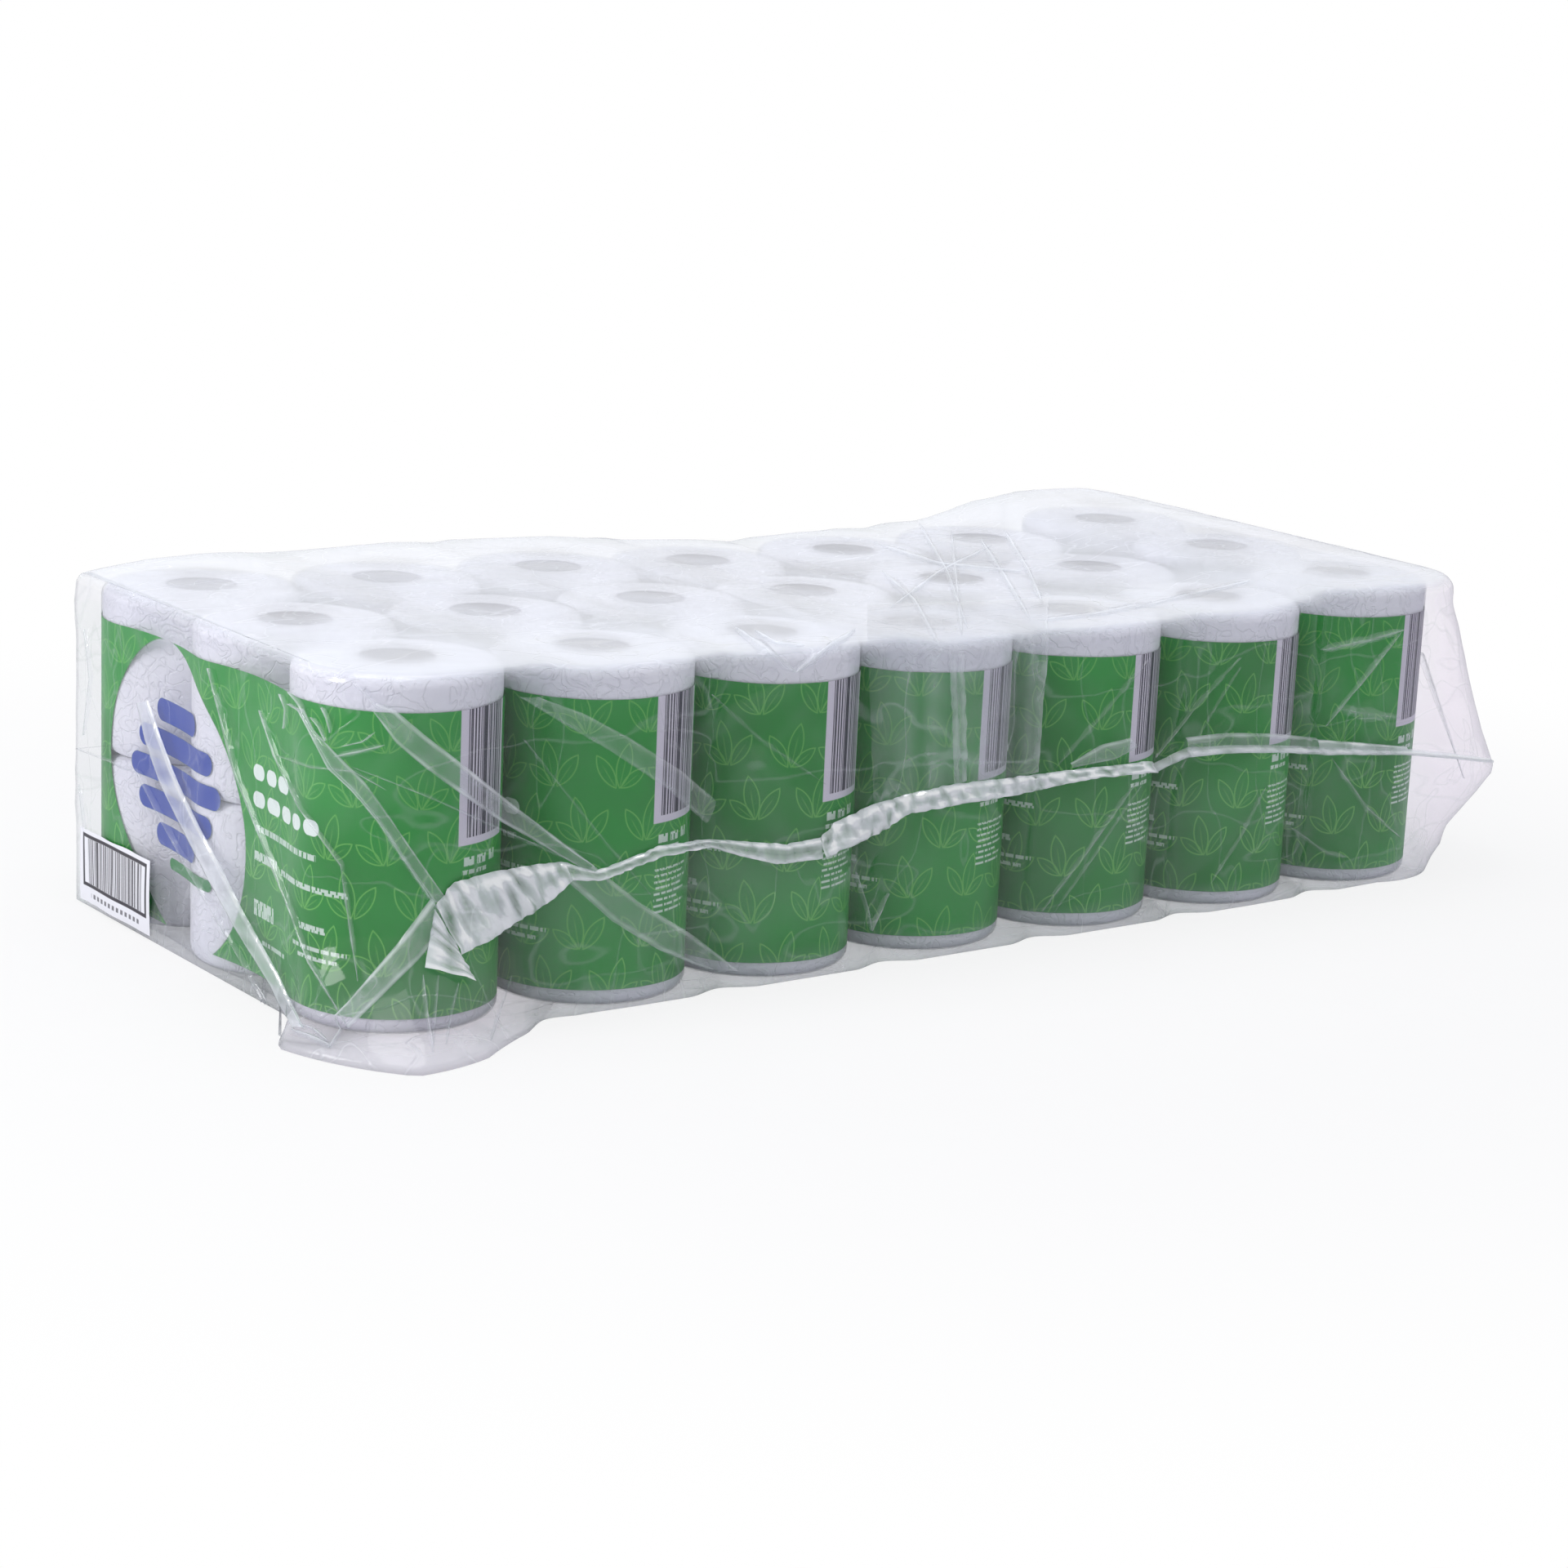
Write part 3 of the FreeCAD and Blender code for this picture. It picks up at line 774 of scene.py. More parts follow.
def taut_line(front):
    """Places where the taut film bends along the front or the back, from left to right."""
    sign = -1 if front else 1
    points = []
    for x, y in zip(PACK_X, PACK_Y):
        for angle in np.linspace(0, math.pi, 91):
            reach = ROW_PITCH + WRAP_RADIUS * math.sin(angle)
            points.append((x - WRAP_RADIUS * math.cos(angle), y + sign * reach))
    points.sort()
    if not front:
        points[0] = (points[0][0], points[0][1] + TENT_REACH)
    line = []
    for p in points:
        while len(line) > 1:
            a = (line[-1][0] - line[-2][0], line[-1][1] - line[-2][1])
            b = (p[0] - line[-1][0], p[1] - line[-1][1])
            if sign * (a[0] * b[1] - a[1] * b[0]) < 0:
                break
            line.pop()
        line.append(p)
    return np.array(line)


def film_stations():
    quarter = np.linspace(0, QUARTER, 26)
    start = PACK_X[0] - WRAP_RADIUS * np.cos(quarter)
    end = PACK_X[-1] + WRAP_RADIUS * np.cos(quarter[::-1])
    count = round((PACK_X[-1] - PACK_X[0]) / FILM_STEP)
    middle = np.linspace(PACK_X[0], PACK_X[-1], count + 1)[1:-1]
    return np.concatenate([start, middle, end])


def hollow_at(x):
    nearest = min(abs(x - joint) for joint in JOINTS)
    share = max(0.0, 1 - nearest / HOLLOW_WIDTH)
    return HOLLOW_DEPTH * share * share * (3 - 2 * share)


def top_at(x):
    heights = []
    for pack in range(PACKS):
        past = abs(x - PACK_X[pack]) - WRAP_RADIUS * 0.9
        heights.append(PACK_TOP[pack] - FILM_SLOPE * max(0.0, past))
    return max(heights)


def bump_shape(distance, width):
    if abs(distance) >= width:
        return 0.0
    return 0.5 + 0.5 * math.cos(math.pi * distance / width)


def path_at(path, along):
    """Value of a path of (place, value) corners at one place."""
    return float(np.interp(along, [p[0] for p in path], [p[1] for p in path]))


def looseness(x, y, height):
    """Step from the packs to where the loose film hangs, and how loose it is."""
    near_x = min(max(x, PACK_X[0]), PACK_X[-1])
    near_y = min(max(y, -ROW_PITCH + SHIFT_Y), ROW_PITCH + SHIFT_Y)
    away = math.hypot(x - near_x, y - near_y)
    ox, oy = (x - near_x) / away, (y - near_y) / away
    past = abs(x - PACK_X[0] + SKIRT_INSET) / SKIRT_WIDTH
    skirt = SKIRT_REACH * max(0.0, 1 - past) ** SKIRT_POINT
    skirt *= min(1.0, SKIRT_TURN * max(0.0, -oy))
    skirt *= max(0.0, 1 - height / SKIRT_RISE) ** 2
    pocket_y = SHIFT_Y + POCKET_INSET - ROW_PITCH - WRAP_RADIUS
    pocket = path_at(POCKET_PROFILE, height) * bump_shape(y - pocket_y, POCKET_WIDTH)
    pocket *= max(0.0, ox)
    hang = skirt + pocket
    return ox * hang, oy * hang, min(1.0, hang / LOOSE_REACH)


def lift_at(x, y, stations):
    """How far the film stands over the packs at one place of its outline."""
    middle = (stations[0] + stations[-1]) / 2
    share = clamp(0.5 + (y - SHIFT_Y) / (2 * ROW_PITCH))
    return path_at(BACK_LIFT, (x - middle) / (stations[-1] - stations[0])) * share


# Creases: turn, width and length in metres, and height. Patches say where they lie: scales
# along and up, start, step for each turn, and share. The last value is the creases' own start
WALL_CREASES = ((0.9, 0.026, 0.16, 1.0), (-0.7, 0.030, 0.19, 0.8), (0.15, 0.040, 0.26, 0.6))
WALL_PATCHES = (9, 12, 3.0, -7, 0.25, 3.0)
TOP_CREASES = ((0.5, 0.024, 0.15, 0.8), (-0.9, 0.022, 0.13, 0.7), (1.5, 0.030, 0.20, 0.7))
TOP_PATCHES = (8, 8, 0.0, 5, 0.2, 21)
CREASE_SHARPNESS = 4.0


def creases(u, v, kinds, patches):
    """Sharp crossing creases of the film at one place, from nothing to one."""
    scale_u, scale_v, start, step, share, seed = patches
    made = 0.0
    for turn, wide, long, reach in kinds:
        across = u * math.cos(turn) - v * math.sin(turn)
        along = u * math.sin(turn) + v * math.cos(turn)
        ridge = abs(rough(across / wide, along / long, seed + turn * 9))
        mask = max(0.0, rough(u * scale_u, v * scale_v, start + turn * step) + share)
        made += reach * mask * max(0.0, 1 - ridge * CREASE_SHARPNESS)
    return made


def outward_steps(outline):
    before = outline - np.roll(outline, 1, axis=0)
    after = np.roll(outline, -1, axis=0) - outline
    made = []
    for a, b in zip(before, after):
        a = np.array((a[1], -a[0])) / max(1e-9, np.hypot(*a))
        b = np.array((b[1], -b[0])) / max(1e-9, np.hypot(*b))
        both = a + b
        made.append(2 * both / max(0.5, both @ both))
    return np.array(made)


def film_outline(stations):
    front_line, back_line = taut_line(True), taut_line(False)
    front = [(x, np.interp(x, *front_line.T) + hollow_at(x)) for x in stations]
    back = [(x, np.interp(x, *back_line.T) - hollow_at(x)) for x in stations]
    shares = np.linspace(0, 1, FILM_ACROSS + 1)[1:-1]
    right = [(stations[-1], front[-1][1] + (back[-1][1] - front[-1][1]) * t) for t in shares]
    left = [(stations[0], back[0][1] + (front[0][1] - back[0][1]) * t) for t in shares]
    return np.array(front + right + back[::-1] + left)


def film_levels(top):
    """Heights and insets of the film from the floor up and round its upper rim."""
    upper = top - FILM_RIM
    levels = [(upper * share, 0.0) for share in np.linspace(0, 1, FILM_ROWS)]
    arc = quarter_arc(FILM_RIM_STEPS)[1:]
    return levels + [(upper + FILM_RIM * s, FILM_RIM * (1 - c)) for s, c in arc]


def wall_haze_and_light(run, height, crease, free):
    # Whiter towards the floor: partly the film's own haze, partly painted light over the shaded
    # foot
    low = max(0.0, 1 - height / 0.020)
    dull = DULL_HAZE * clamp((0.095 - height) / 0.02)
    dull *= 0.6 + rough(run * 7, height * 9, 2)
    made = WALL_HAZE + CREASE_HAZE * crease + LOOSE_HAZE * free + FOOT_HAZE_AND_PAINTED_LIGHT * low
    return made + max(0.0, dull)


def film_walls(outline, stations, points, haze_and_highlight, loose):
    """Adds the film's walls and returns their columns of points, each from the floor up."""
    out = outward_steps(outline)
    runs = np.concatenate([[0], np.cumsum(np.hypot(*(outline[1:] - outline[:-1]).T))])
    columns = []
    for (x, y), step, run in zip(outline, out, runs):
        top = top_at(x) + lift_at(x, y, stations) + FILM_OFFSET
        column = []
        for k, (height, inset) in enumerate(film_levels(top)):
            loose_x, loose_y, free = looseness(x, y, height)
            crease = creases(run, height, WALL_CREASES, WALL_PATCHES)
            wave = WAVE_HEIGHT * free * rough(x * 11, y * 11, height * 14)
            fade = min(1.0, height / FOOT_FADE)
            away = FILM_OFFSET - inset + (CREASE_HEIGHT * crease + wave) * fade
            column.append(len(points))
            points.append((x + loose_x + step[0] * away, y + loose_y + step[1] * away, height))
            # The rim grows to the top's haze, half as much again at the front: partly painted
            # sheen
            brow = TOP_HAZE_AND_SHEEN * (1.5 if y < 0 else 1.0) * max(0, k - FILM_ROWS) / FILM_RIM_STEPS
            haze_and_highlight.append(wall_haze_and_light(run, height, crease, free) + brow)
            loose.append(free)
        columns.append(column)
    return columns


def film_top(columns, count, points, haze_and_highlight, loose):
    """Adds the film's top inside the rim of its walls and returns its rows of points."""
    rim = [column[-1] for column in columns]
    ends = (count, count + FILM_ACROSS - 1, 2 * count + FILM_ACROSS - 1)
    front, right = rim[:ends[0]], rim[ends[0]:ends[1]]
    back, left = rim[ends[1]:ends[2]][::-1], rim[ends[2]:]
    rows = [[front[0]] + left[::-1] + [back[0]]]
    for k in range(1, count - 1):
        a, b = Vector(points[front[k]]), Vector(points[back[k]])
        row = [front[k]]
        for j in range(1, FILM_ACROSS):
            p = a.lerp(b, j / FILM_ACROSS)
            edge = min(1.0, min(j, FILM_ACROSS - j) / 4, min(k, count - 1 - k) / 20)
            crease = creases(p.x, p.y, TOP_CREASES, TOP_PATCHES)
            p.z += edge * (TOP_CREASE_HEIGHT * crease + TOP_WAVE_HEIGHT * noise.noise(p * 14))
            row.append(len(points))
            points.append(tuple(p))
            # White veil of the top, partly painted sheen
            made = TOP_HAZE_AND_SHEEN + TOP_FRONT_HAZE * clamp((-0.02 - p.y) / 0.06)
            made += TOP_CREASE_HAZE * crease + TOP_CLOUD_HAZE * edge * noise.noise(p * 9) / 2
            haze_and_highlight.append(made)
            loose.append(0.0)
        rows.append(row + [back[k]])
    return rows + [[front[-1]] + right + [back[-1]]]


def make_film(material):
    stations = film_stations()
    points, haze_and_highlight, loose = [], [], []
    columns = film_walls(film_outline(stations), stations, points, haze_and_highlight, loose)
    faces = []
    for here, after in zip(columns, columns[1:] + columns[:1]):
        for k in range(len(here) - 1):
            faces.append((here[k], after[k], after[k + 1], here[k + 1]))
    faces += grid_faces(film_top(columns, len(stations), points, haze_and_highlight, loose), True)
    faces.append([column[0] for column in columns][::-1])
    film = add_object("outer_film_sheet", points, faces, material)
    set_values(film, "haze_and_highlight", haze_and_highlight)
    set_values(film, "loose", loose)
    return film


# Folds, welds and the second layer, whose places are given as pixels of the photograph

# A fold's section: steps across, and shares of its height and of its haze between its edges
STROKE_STEP = 4.0
STROKE_ACROSS = (-1.0, -0.35, -0.12, 0.12, 0.5, 1.0)
STROKE_HEIGHTS = (0.0, 0.45, 1.0, 0.85, 0.35, 0.0)
STROKE_SHADES = (0.35, 1.0, 0.8, 0.3)
STROKE_FOOT = 0.0002
STROKE_EDGE = 0.02


class Band:
    """Gathers strips of film that lie on the outer film."""

    def __init__(self, film):
        mesh = film.data
        corners = [v.co.copy() for v in mesh.vertices]
        self.tree = BVHTree.FromPolygons(corners, [tuple(p.vertices) for p in mesh.polygons])
        self.eye = camera_place()
        self.points, self.faces, self.haze_and_highlight = [], [], []

    def cast(self, px, py):
        return self.hit(self.eye, pixel_ray(px, py))

    def cast_back(self, x, z):
        """Place on the back, from half millimetres along the bale and up."""
        return self.hit(Vector((x * HALF_MM, 1, z * HALF_MM)), Vector((0, -1, 0)))

    def cast_right(self, y, z):
        """Place on the right end, from half millimetres along it and up."""
        return self.hit(Vector((1, y * HALF_MM, z * HALF_MM)), Vector((-1, 0, 0)))

    def hit(self, start, ray):
        place, normal, _, _ = self.tree.ray_cast(start, ray)
        if place is None:
            place, normal, _, _ = self.tree.find_nearest(start + ray * 2.0)
        if normal.dot(ray) > 0:
            normal = -normal
        return place, normal

    def sheet(self, rows, profile, shades, seed, crinkle=0.0, pleat=0.25, contrast=0.5):
        """Strip from rows of places, with a height and a haze for each place across. Where the
        haze peaks it is partly painted highlight.
        """
        grid = []
        for k, row in enumerate(rows):
            line = []
            for j, (place, normal) in enumerate(row):
                lift = profile[j] + crinkle * (rough(k * pleat, j * 0.3, seed) + 0.3)
                line.append(len(self.points))
                self.points.append(tuple(place + normal * lift))
                wave = 0.75 + contrast * rough(k * pleat, j * 0.3, seed + 30)
                self.haze_and_highlight.append(min(0.95, max(0.0, shades[j] * wave)))
            grid.append(line)
        self.faces += grid_faces(grid)

    def stroke(self, path, width, height, shade, seed, cast):
        """One narrow fold along a line of pixels. Its width is in pixels."""
        dense = resample(path, max(2, round(path_length(path) / STROKE_STEP)))
        rows = []
        last = len(dense) - 1
        for k, p in enumerate(dense):
            run = dense[min(last, k + 1)] - dense[max(0, k - 1)]
            side = np.array((-run[1], run[0])) / max(1e-6, np.hypot(*run))
            grow = min(1.0, 0.1 + k / last * 6, 0.1 + (1 - k / last) * 6)
            reach = width / 2 * grow * (0.8 + 0.5 * rough(k * 0.23, seed, 0))
            rows.append([cast(*(p + side * reach * t)) for t in STROKE_ACROSS])
        profile = [STROKE_FOOT + height * share for share in STROKE_HEIGHTS]
        # The crest's haze is partly painted highlight
        shades = [STROKE_EDGE, *(shade * share for share in STROKE_SHADES), STROKE_EDGE]
        self.sheet(rows, profile, shades, seed)

    def area(self, upper, lower, spread, profile, shades, seed, crinkle, step=5.0, **looks):
        """Sheet between two lines of pixels, with points at some shares of the way across."""
        count = max(2, round(max(path_length(upper), path_length(lower)) / step))
        rows = []
        for p, q in zip(resample(upper, count), resample(lower, count)):
            rows.append([self.cast(*(p + (q - p) * share)) for share in spread])
        self.sheet(rows, profile, shades, seed, crinkle, **looks)

    def build(self, name, material):
        piece = add_object(name, self.points, self.faces, material)
        set_values(piece, "haze_and_highlight", self.haze_and_highlight)
        carry(piece, "clear_film")


def even(across):
    """Even shares of the way from nothing to one."""
    return [j / (across - 1) for j in range(across)]


def path_length(path):
    path = np.array(path, float)
    return float(np.hypot(*(path[1:] - path[:-1]).T).sum())


def resample(path, count):
    """Evenly spaced places along a line."""
    path = np.array(path, float)
    runs = np.concatenate([[0], np.cumsum(np.hypot(*(path[1:] - path[:-1]).T))])
    at = np.linspace(0, runs[-1], count)
    return np.stack([np.interp(at, runs, path[:, 0]), np.interp(at, runs, path[:, 1])], axis=1)


# Narrow folds: width in pixels, height in millimetres, haze and a line of pixels. The haze is
# partly the fold's whitened film and partly its painted highlight
FOLDS = (
    (9, 2.0, 0.30, (92, 915), (170, 945), (190, 985), (230, 1060), (300, 1180), (345, 1270)),
    (8, 2.5, 0.50, (258, 818), (290, 944), (359, 1117), (381, 1180), (427, 1260)),
    (8, 2.2, 0.60, (321, 870), (338, 924), (370, 990), (419, 1059), (427, 1117), (439, 1203)),
    (9, 2.8, 0.75, (356, 861), (370, 870), (404, 939), (433, 967), (462, 1002), (496, 1054),
     (534, 1112)),
    (6, 1.4, 0.40, (338, 924), (381, 939), (433, 944), (473, 967)),
    (6, 1.6, 0.36, (433, 939), (519, 973), (634, 1025), (726, 1065)),
    (6, 1.4, 0.30, (559, 944), (634, 996), (726, 1059)),
    (6, 1.4, 0.16, (640, 905), (740, 1030), (800, 1100)),
    (16, 2.2, 0.85, (900, 771), (937, 796), (973, 823)),
    (13, 2.2, 0.92, (973, 823), (1010, 796), (1047, 774)),
    (9, 1.4, 0.80, (925, 774), (950, 788), (985, 792)),
    (6, 1.4, 0.16, (870, 850), (930, 905), (1010, 960)),
    (7, 2.0, 0.32, (1047, 1068), (1060, 1111), (1065, 1139)),
    (8, 2.2, 0.45, (1065, 1139), (1078, 1111), (1087, 1093)),
    (8, 1.4, 0.16, (1292, 940), (1347, 878), (1408, 805)),
    (7, 1.4, 0.24, (1414, 927), (1463, 866), (1518, 805)),
    (5, 1.2, 0.18, (1445, 940), (1488, 866), (1518, 817)),
    (8, 1.6, 0.34, (1274, 1117), (1329, 1044), (1390, 958)),
    (5, 1.2, 0.20, (1290, 1117), (1342, 1044), (1396, 962)),
    (6, 1.2, 0.22, (1482, 1081), (1518, 1025), (1549, 964)),
    (14, 2.0, 0.60, (1616, 796), (1672, 784), (1718, 771)),
    (18, 1.8, 0.30, (1635, 866), (1672, 875), (1714, 878)),
    (8, 2.0, 0.40, (1714, 774), (1665, 836), (1623, 888)),
    (8, 1.8, 0.40, (1629, 927), (1672, 989), (1714, 1025)),
    (7, 1.6, 0.30, (1580, 1013), (1623, 1044), (1653, 1050)),
    (8, 2.0, 0.36, (517, 1195), (522, 1240), (530, 1290)),
    (6, 1.6, 0.30, (536, 1195), (533, 1235), (529, 1285)),
    (5, 1.6, 0.26, (560, 1205), (552, 1240), (546, 1280)),
    (5, 1.6, 0.18, (625, 1195), (612, 1235), (600, 1275)),
    (7, 1.6, 0.34, (105, 770), (112, 830), (104, 900)),
    (5, 1.4, 0.26, (98, 960), (104, 1010), (108, 1060)),
    (10, 0.7, 0.90, (1165, 650), (1172, 720), (1178, 780)),
    (10, 0.7, 0.90, (1080, 700), (1120, 735), (1150, 790)),
    (9, 0.7, 0.90, (1070, 665), (1150, 690), (1250, 700)),
    (9, 0.7, 0.90, (1125, 640), (1160, 700), (1185, 770)),
    (10, 0.7, 0.90, (1200, 660), (1230, 705), (1262, 760)),
    (11, 0.7, 0.90, (1230, 650), (1260, 700), (1278, 742)),
    (9, 0.7, 0.90, (1090, 745), (1150, 700), (1215, 668)),
    (9, 0.7, 0.90, (1390, 745), (1450, 730), (1530, 712)),
    (10, 0.7, 0.90, (1270, 760), (1340, 752), (1410, 738)),
    (6, 2.0, 0.80, (345, 850), (352, 868), (350, 892)),
    (8, 2.4, 0.90, (356, 846), (366, 858), (374, 872)),
    (6, 2.0, 0.85, (383, 878), (392, 890), (400, 907)),
    (8, 2.2, 0.90, (396, 866), (402, 880), (406, 897)),
    (9, 2.0, 0.75, (410, 926), (440, 920), (472, 912)),
    (5, 1.8, 0.60, (418, 914), (444, 908), (460, 896)),
    (6, 1.8, 0.60, (430, 835), (450, 850), (462, 868)),
    (10, 2.4, 0.90, (358, 1262), (380, 1270), (407, 1283)),
    (6, 2.0, 0.85, (364, 1254), (384, 1260), (402, 1276)),
    (6, 1.8, 0.60, (404, 1284), (418, 1262), (410, 1246)),
)

# Folds on the two sides that the photograph doesn't show, in half millimetres along and up,
# which is about a pixel's width on the front
HALF_MM = 0.0005
BACK_FOLDS = (
    ((-800, 300), (-720, 180), (-680, 40)), ((-660, 340), (-500, 240), (-380, 80)),
    ((-460, 320), (-490, 200), (-600, 60)), ((-240, 350), (-180, 240), (-200, 80)),
    ((-120, 120), (0, 180), (140, 300)), ((80, 340), (120, 220), (240, 60)),
    ((300, 330), (400, 240), (420, 100)), ((520, 340), (480, 220), (560, 40)),
    ((660, 320), (740, 200), (840, 120)), ((600, 120), (720, 160), (860, 280)),
)
RIGHT_FOLDS = (
    ((60, 340), (120, 220), (220, 100)), ((80, 60), (160, 140), (280, 180)),
)
UNSEEN_WIDTH = 9
UNSEEN_HEIGHT = 0.0018
UNSEEN_HAZE = 0.42

# Translucent bands: haze of their middle and of their edges, and two lines of pixels. Their
# bright edges and brightest middles are partly painted highlight
SHEETS = (
    (0.80, 1.20, ((169, 861), (178, 904), (195, 956), (226, 1019), (255, 1076), (287, 1134),
      (330, 1203), (359, 1260)),
     ((183, 858), (198, 904), (218, 956), (244, 1010), (270, 1059), (301, 1120), (341, 1191),
      (373, 1260))),
    (0.22, 0.40, ((356, 861), (370, 870), (404, 939), (433, 967), (462, 1002), (496, 1054),
      (531, 1105)),
     ((373, 868), (386, 895), (420, 930), (448, 958), (479, 1002), (510, 1048), (545, 1098))),
    (0.26, 0.50, ((462, 861), (485, 870), (519, 899), (577, 944), (634, 990), (726, 1059)),
     ((456, 870), (485, 910), (519, 939), (565, 973), (611, 1005), (726, 1071))),
    (0.30, 0.55, ((528, 1099), (485, 1157), (427, 1226), (410, 1243)),
     ((548, 1134), (514, 1174), (462, 1226), (427, 1260))),
    (0.20, 0.42, ((691, 1076), (749, 1128), (806, 1163), (864, 1186)),
     ((726, 1059), (783, 1105), (841, 1140), (905, 1188))),
    (0.16, 0.20, ((634, 853), (691, 887), (749, 921), (818, 967), (864, 1008)),
     ((657, 853), (714, 873), (772, 904), (835, 944), (875, 979))),
    (0.34, 0.40, ((1310, 934), (1347, 912), (1384, 903)),
     ((1312, 940), (1365, 930), (1392, 915))),
    (0.80, 0.70, ((1610, 905), (1665, 909), (1722, 914)),
     ((1614, 922), (1665, 922), (1724, 923))),
    (0.26, 0.45, ((1451, 903), (1500, 897), (1561, 898), (1610, 903)),
     ((1451, 927), (1500, 923), (1561, 921), (1616, 923))),
)

# The weld: its upper and its lower edge
WELD_UPPER = (
    (533, 1108), (554, 1080), (605, 1066), (668, 1056), (691, 1055), (726, 1066), (755, 1056),
    (806, 1035), (864, 1027), (900, 1029), (961, 1033), (1004, 1025), (1022, 1006), (1065, 985),
    (1114, 971), (1169, 959), (1225, 953), (1280, 946), (1329, 940), (1378, 935), (1408, 931),
)
WELD_LOWER = (
    (560, 1170), (600, 1148), (640, 1120), (680, 1097), (700, 1076), (729, 1077), (757, 1068),
    (809, 1047), (864, 1037), (900, 1046), (949, 1057), (1004, 1050), (1026, 1040), (1084, 1013),
    (1114, 994), (1176, 983), (1243, 972), (1292, 961), (1350, 950), (1392, 947), (1412, 944),
)
WELD_RIGHT_UPPER = (
    (1408, 936), (1451, 915), (1500, 912), (1561, 912), (1616, 914), (1721, 916), (1775, 922),
    (1819, 928),
)
WELD_RIGHT_LOWER = (
    (1412, 945), (1453, 927), (1500, 922), (1561, 921), (1616, 924), (1721, 924), (1775, 929),
    (1826, 935),
)


def make_folds(film, material):
    band = Band(film)
    for k, (width, height, shade, *path) in enumerate(FOLDS):
        band.stroke(path, width, height * MM, shade, k * 3.7, band.cast)
    unseen = ((BACK_FOLDS, band.cast_back, 100), (RIGHT_FOLDS, band.cast_right, 150))
    for folds, cast, first in unseen:
        for k, path in enumerate(folds):
            seed = (first + k) * 1.3
            band.stroke(path, UNSEEN_WIDTH, UNSEEN_HEIGHT, UNSEEN_HAZE, seed, cast)
    profile = (0.0003, 0.0016, 0.0020, 0.0022, 0.0017, 0.0013, 0.0003)
    spread = (0, 0.1, 0.22, 0.5, 0.8, 0.92, 1)
    for k, (shade, edge, upper, lower) in enumerate(SHEETS):
        # The edges' haze peaks in thin bright lines, painted highlights
        shades = (edge * 0.7, edge * 1.6, shade, shade * 0.8, shade, edge * 1.4, edge * 0.6)
        band.area(upper, lower, spread, profile, shades, 40 + k, 0.0003)
    band.build("film_folds", material)


# The weld is broad and crumpled at its left, a narrow rope, and broad again. Each run has its
# first and last corner, its haze across and how far that changes along it
# The brightest haze, along the edges and in the broad patches, is partly painted highlight
WELD_RUNS = (
    (0, 5, (0.8, 1.25, 0.9, 0.85, 1.05, 1.4, 1.3), 0.9),
    (4, 12, (0.8, 1.25, 0.5, 0.4, 0.7, 1.4, 1.4), 0.5),
    (11, 21, (0.8, 1.2, 1.0, 0.9, 1.05, 1.4, 1.3), 0.8),
)
WELD_PROFILE = (0.0003, 0.0022, 0.0026, 0.0024, 0.0030, 0.0036, 0.0026)
WELD_SPREAD = (0, 0.14, 0.32, 0.52, 0.72, 0.88, 1)
# The loose corner that hangs from the weld's left end
EAR = ((531, 1112), (525, 1150), (519, 1186)), ((560, 1168), (572, 1188), (580, 1203))


def make_weld(film, material):
    band = Band(film)
    for first, last, shades, contrast in WELD_RUNS:
        band.area(WELD_UPPER[first:last], WELD_LOWER[first:last], WELD_SPREAD, WELD_PROFILE,
                  shades, 71, 0.0026, step=4.0, pleat=0.42, contrast=contrast)
    # Painted highlight down the right run's middle and along the ear's edges, on the film's own
    # haze
    band.area(WELD_RIGHT_UPPER, WELD_RIGHT_LOWER, even(4), (0.0004, 0.0022, 0.0030, 0.0012),
              (0.3, 0.8, 1.2, 0.8), 75, 0.0010, pleat=0.4, contrast=0.6)
    band.area(*EAR, even(5), (0.001, 0.003, 0.002, 0.004, 0.002), (0.9, 1.2, 0.7, 1.2, 0.9),
              73, 0.0022, step=4.0, pleat=0.5, contrast=0.8)
    band.build("weld_fin", material)


# The overlap of the film's two ends, from the top of the front down to the weld, and its seam
OVERLAP_LEFT = ((1062, 742), (1062, 800), (1064, 860), (1066, 920), (1068, 985), (1075, 1008))
OVERLAP_RIGHT = ((1284, 735), (1281, 780), (1278, 820), (1273, 870), (1270, 915), (1268, 945))
OVERLAP_ACROSS = 28
SEAM = ((1160, 800), (1164, 880), (1166, 960)), ((1178, 800), (1182, 880), (1182, 955))


def make_overlap(film, material):
    band = Band(film)
    profile = [0.0007] * OVERLAP_ACROSS
    profile[-1] += 0.0012
    shades = [0.24 * min(1.0, 0.15 + j / 7) for j in range(OVERLAP_ACROSS)]
    # Partly painted highlight: a bright line along the overlap's raised right edge
    shades[-1] += 0.3
    shades = [shade * (0.75 + 0.8 * rough(j * 0.45, 8, 0)) for j, shade in enumerate(shades)]
    band.area(OVERLAP_LEFT, OVERLAP_RIGHT, even(OVERLAP_ACROSS), profile, shades, 91, 0.0008,
              step=6.0)
    band.area(*SEAM, even(5), (0.001, 0.002, 0.0012, 0.002, 0.001), (0.3, 0.5, 0.2, 0.5, 0.3),
              93, 0.0016, step=4.0)
    band.build("film_overlap", material)


LABEL_GRID = (34, 16)


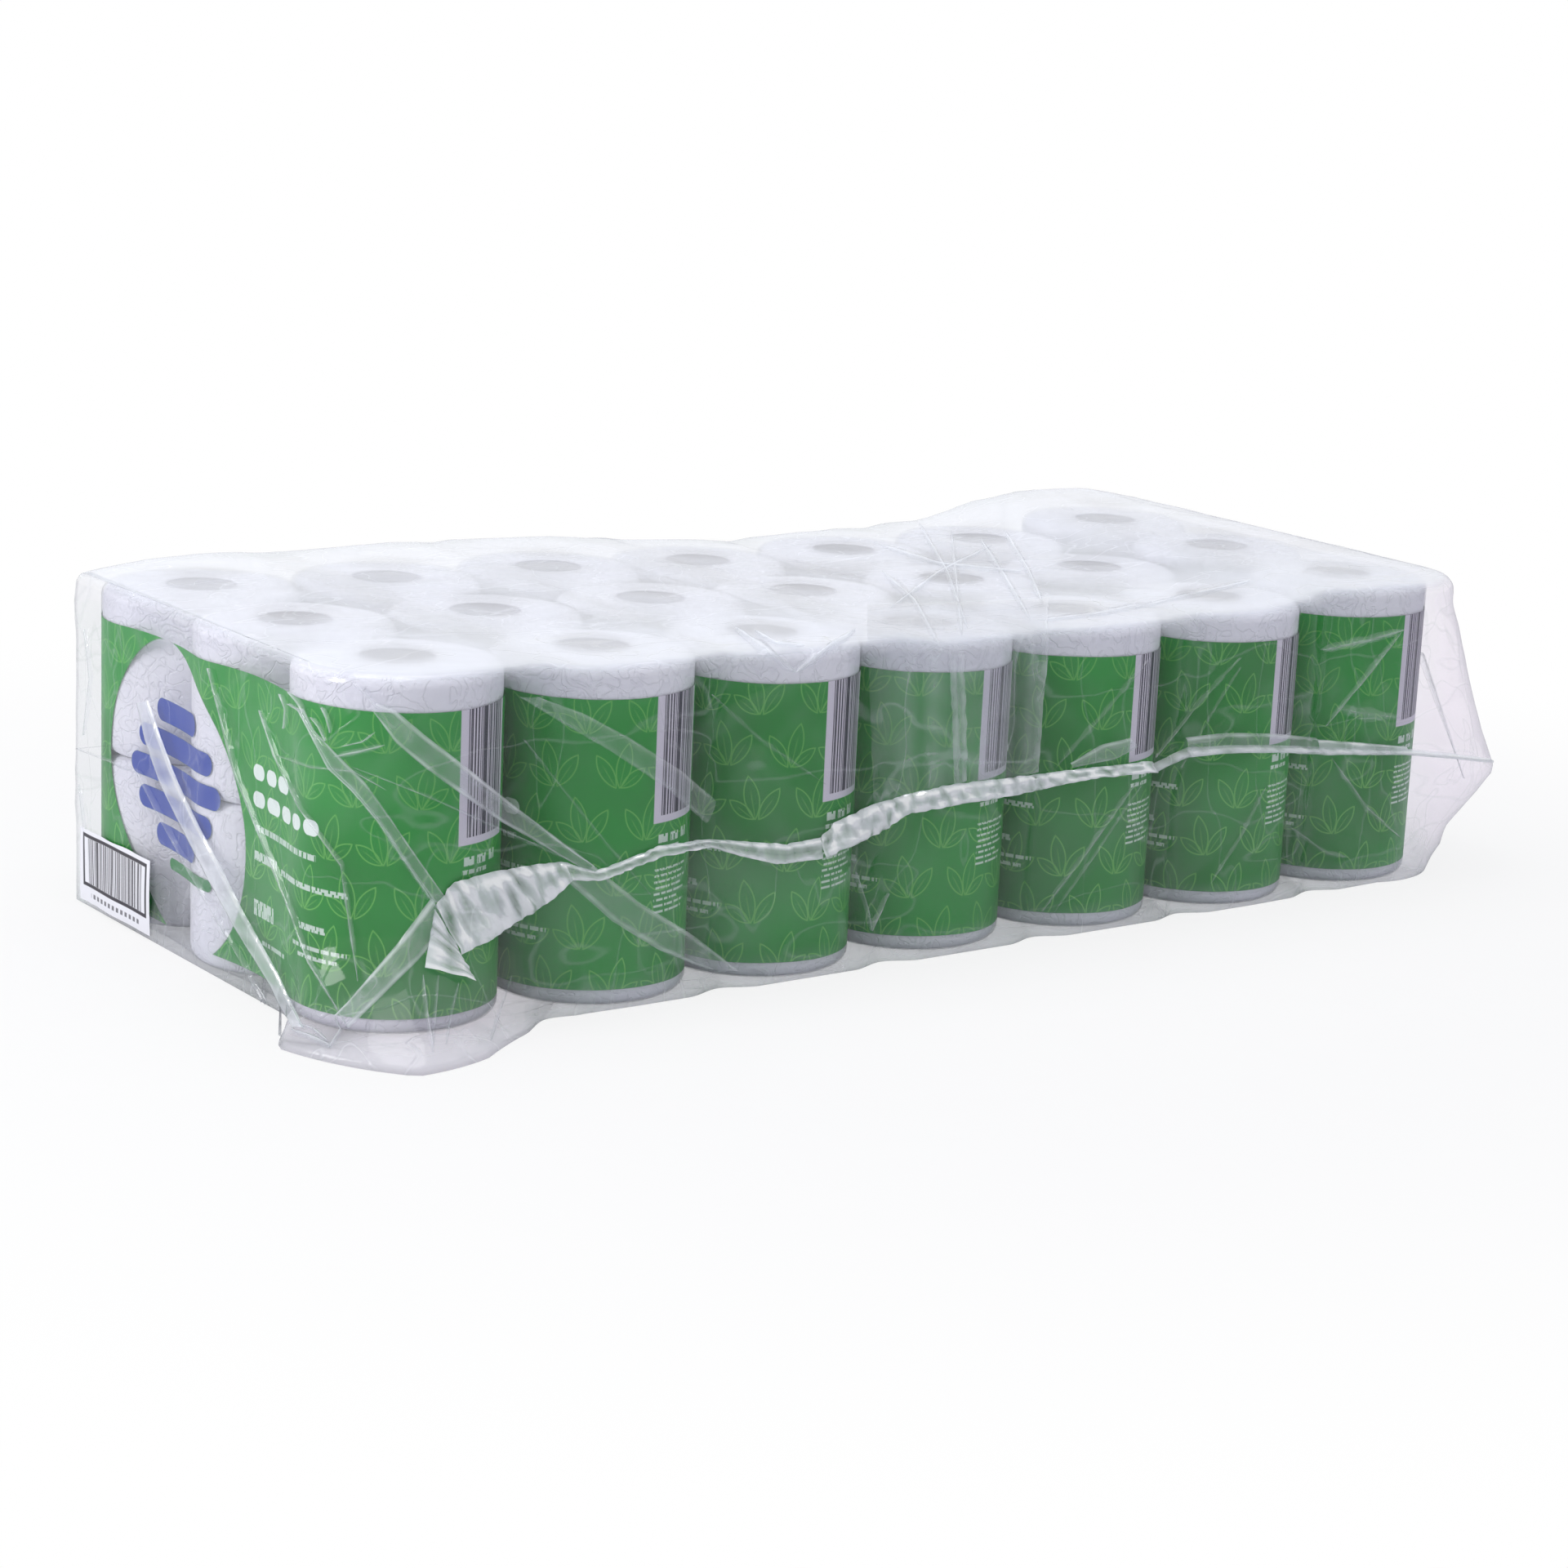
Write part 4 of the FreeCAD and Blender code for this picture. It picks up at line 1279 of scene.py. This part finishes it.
def make_label(material):
    low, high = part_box("barcode_label")
    wide, tall = high.y - low.y, high.z - low.z
    columns, rows = LABEL_GRID
    points, flat = [], []
    for j in range(rows + 1):
        for k in range(columns + 1):
            u, v = wide * k / columns, tall * j / rows
            y, z = high.y - u, low.z + v
            edge = 0.0012 * rough(y * 40, 3, 0) * (j == rows)
            wave = 0.0011 * (rough(y * 34, z * 22, 5) + 0.35)
            points.append((low.x - max(0.0, wave), y, z + edge))
            flat.append((u, v))
    grid = np.arange(len(points)).reshape(rows + 1, columns + 1).tolist()
    faces = grid_faces(grid)
    label = add_object("barcode_label_sticker", points, faces, material)
    set_uv(label, [flat[c] for corners in faces for c in corners])
    carry(label, "label_paper", "barcode_label")


# Floor, light and background

WHITE = (1, 1, 1, 1)
FLOOR_DARK = (0.63, 0.63, 0.65, 1)
FLOOR_LIGHT = (0.66, 0.66, 0.68, 1)
FLOOR_REACH = 7.0
FLOOR_DROP = 0.0004
SKY_TINT = (0.93, 0.94, 1.0, 1)
SKY_RISE = 1.15
SKY_LOW = 0.34


def make_floor():
    """Pale floor, which turns into the plain white of the background away from the object."""
    g = Graph("pale_floor")
    x, y, _ = g.split(g.place())
    seen = g.node("ShaderNodeLightPath").outputs["Is Camera Ray"]
    far = g.ramp(g.length(x, y), 0.40, 0.95, 0.82, 1.0)
    shade = g.mix(g.noise(g.place(), 30.0, 2.0), FLOOR_DARK, FLOOR_LIGHT)
    plain = g.out("BsdfDiffuse", {"Color": shade})
    white = g.out("Emission", {"Color": WHITE, "Strength": 1.0})
    material = g.finish(g.blend(g.mul(seen, far), plain, white))
    corners = ((-1, -1), (1, -1), (1, 1), (-1, 1))
    points = [(x * FLOOR_REACH, y * FLOOR_REACH, 0) for x, y in corners]
    floor = add_object("studio_floor", points, [(0, 1, 2, 3)], material)
    floor.location.z = -FLOOR_DROP


def add_lamp(name, place, target, size, power, colour):
    data = bpy.data.lights.new(name, "AREA")
    data.shape = "RECTANGLE"
    data.size, data.size_y = size
    data.energy = power
    data.color = colour
    lamp = bpy.data.objects.new(name, data)
    lamp.location = place
    lamp.rotation_euler = (Vector(target) - Vector(place)).to_track_quat("-Z", "Y").to_euler()
    bpy.context.collection.objects.link(lamp)


def make_light():
    """Two soft lamps, and a sky that is plain white wherever it is seen or mirrored."""
    add_lamp("top_soft", (-0.25, 0.15, 1.7), (-0.1, 0, 0.1), (1.5, 1.0), 10.0, (1, 1, 1))
    add_lamp("left_soft", (-1.9, 0.15, 0.8), (0, 0, 0.1), (0.6, 0.9), 11.5, (1, 0.99, 1))
    g = Graph("studio", world=True)
    up = g.split(g.place("Generated"))[2]
    level = g.math("MULTIPLY_ADD", g.mul(up, up), SKY_RISE, SKY_LOW)
    soft = g.out("Background", {"Color": SKY_TINT, "Strength": level})
    white = g.out("Background", {"Color": WHITE, "Strength": 1.0})
    path = g.node("ShaderNodeLightPath").outputs
    kinds = ("Camera", "Glossy", "Transmission")
    seen = g.any_of(*[path[f"Is {kind} Ray"] for kind in kinds])
    bpy.context.scene.world = g.finish(g.blend(seen, soft, white))
    bpy.context.scene.view_settings.view_transform = "Standard"


def dress_nodes():
    card = core_material()
    for pack in range(PACKS):
        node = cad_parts[f"cores_pack_{pack + 1}"]
        node.data.materials.clear()
        node.data.materials.append(card)


def main():
    make_camera()
    make_light()
    make_floor()
    dress_nodes()
    make_rolls(paper_material())
    for pack in range(PACKS):
        make_wrap(pack)
    clear = film_material("clear_film", 0.0016, 0.04, 0.35)
    film = make_film(clear)
    make_folds(film, clear)
    make_weld(film, film_material("weld_film", 0.0005, 0.08, 0.12))
    make_overlap(film, clear)
    make_label(label_material())
    carry(film, "clear_film", "outer_film")


main()
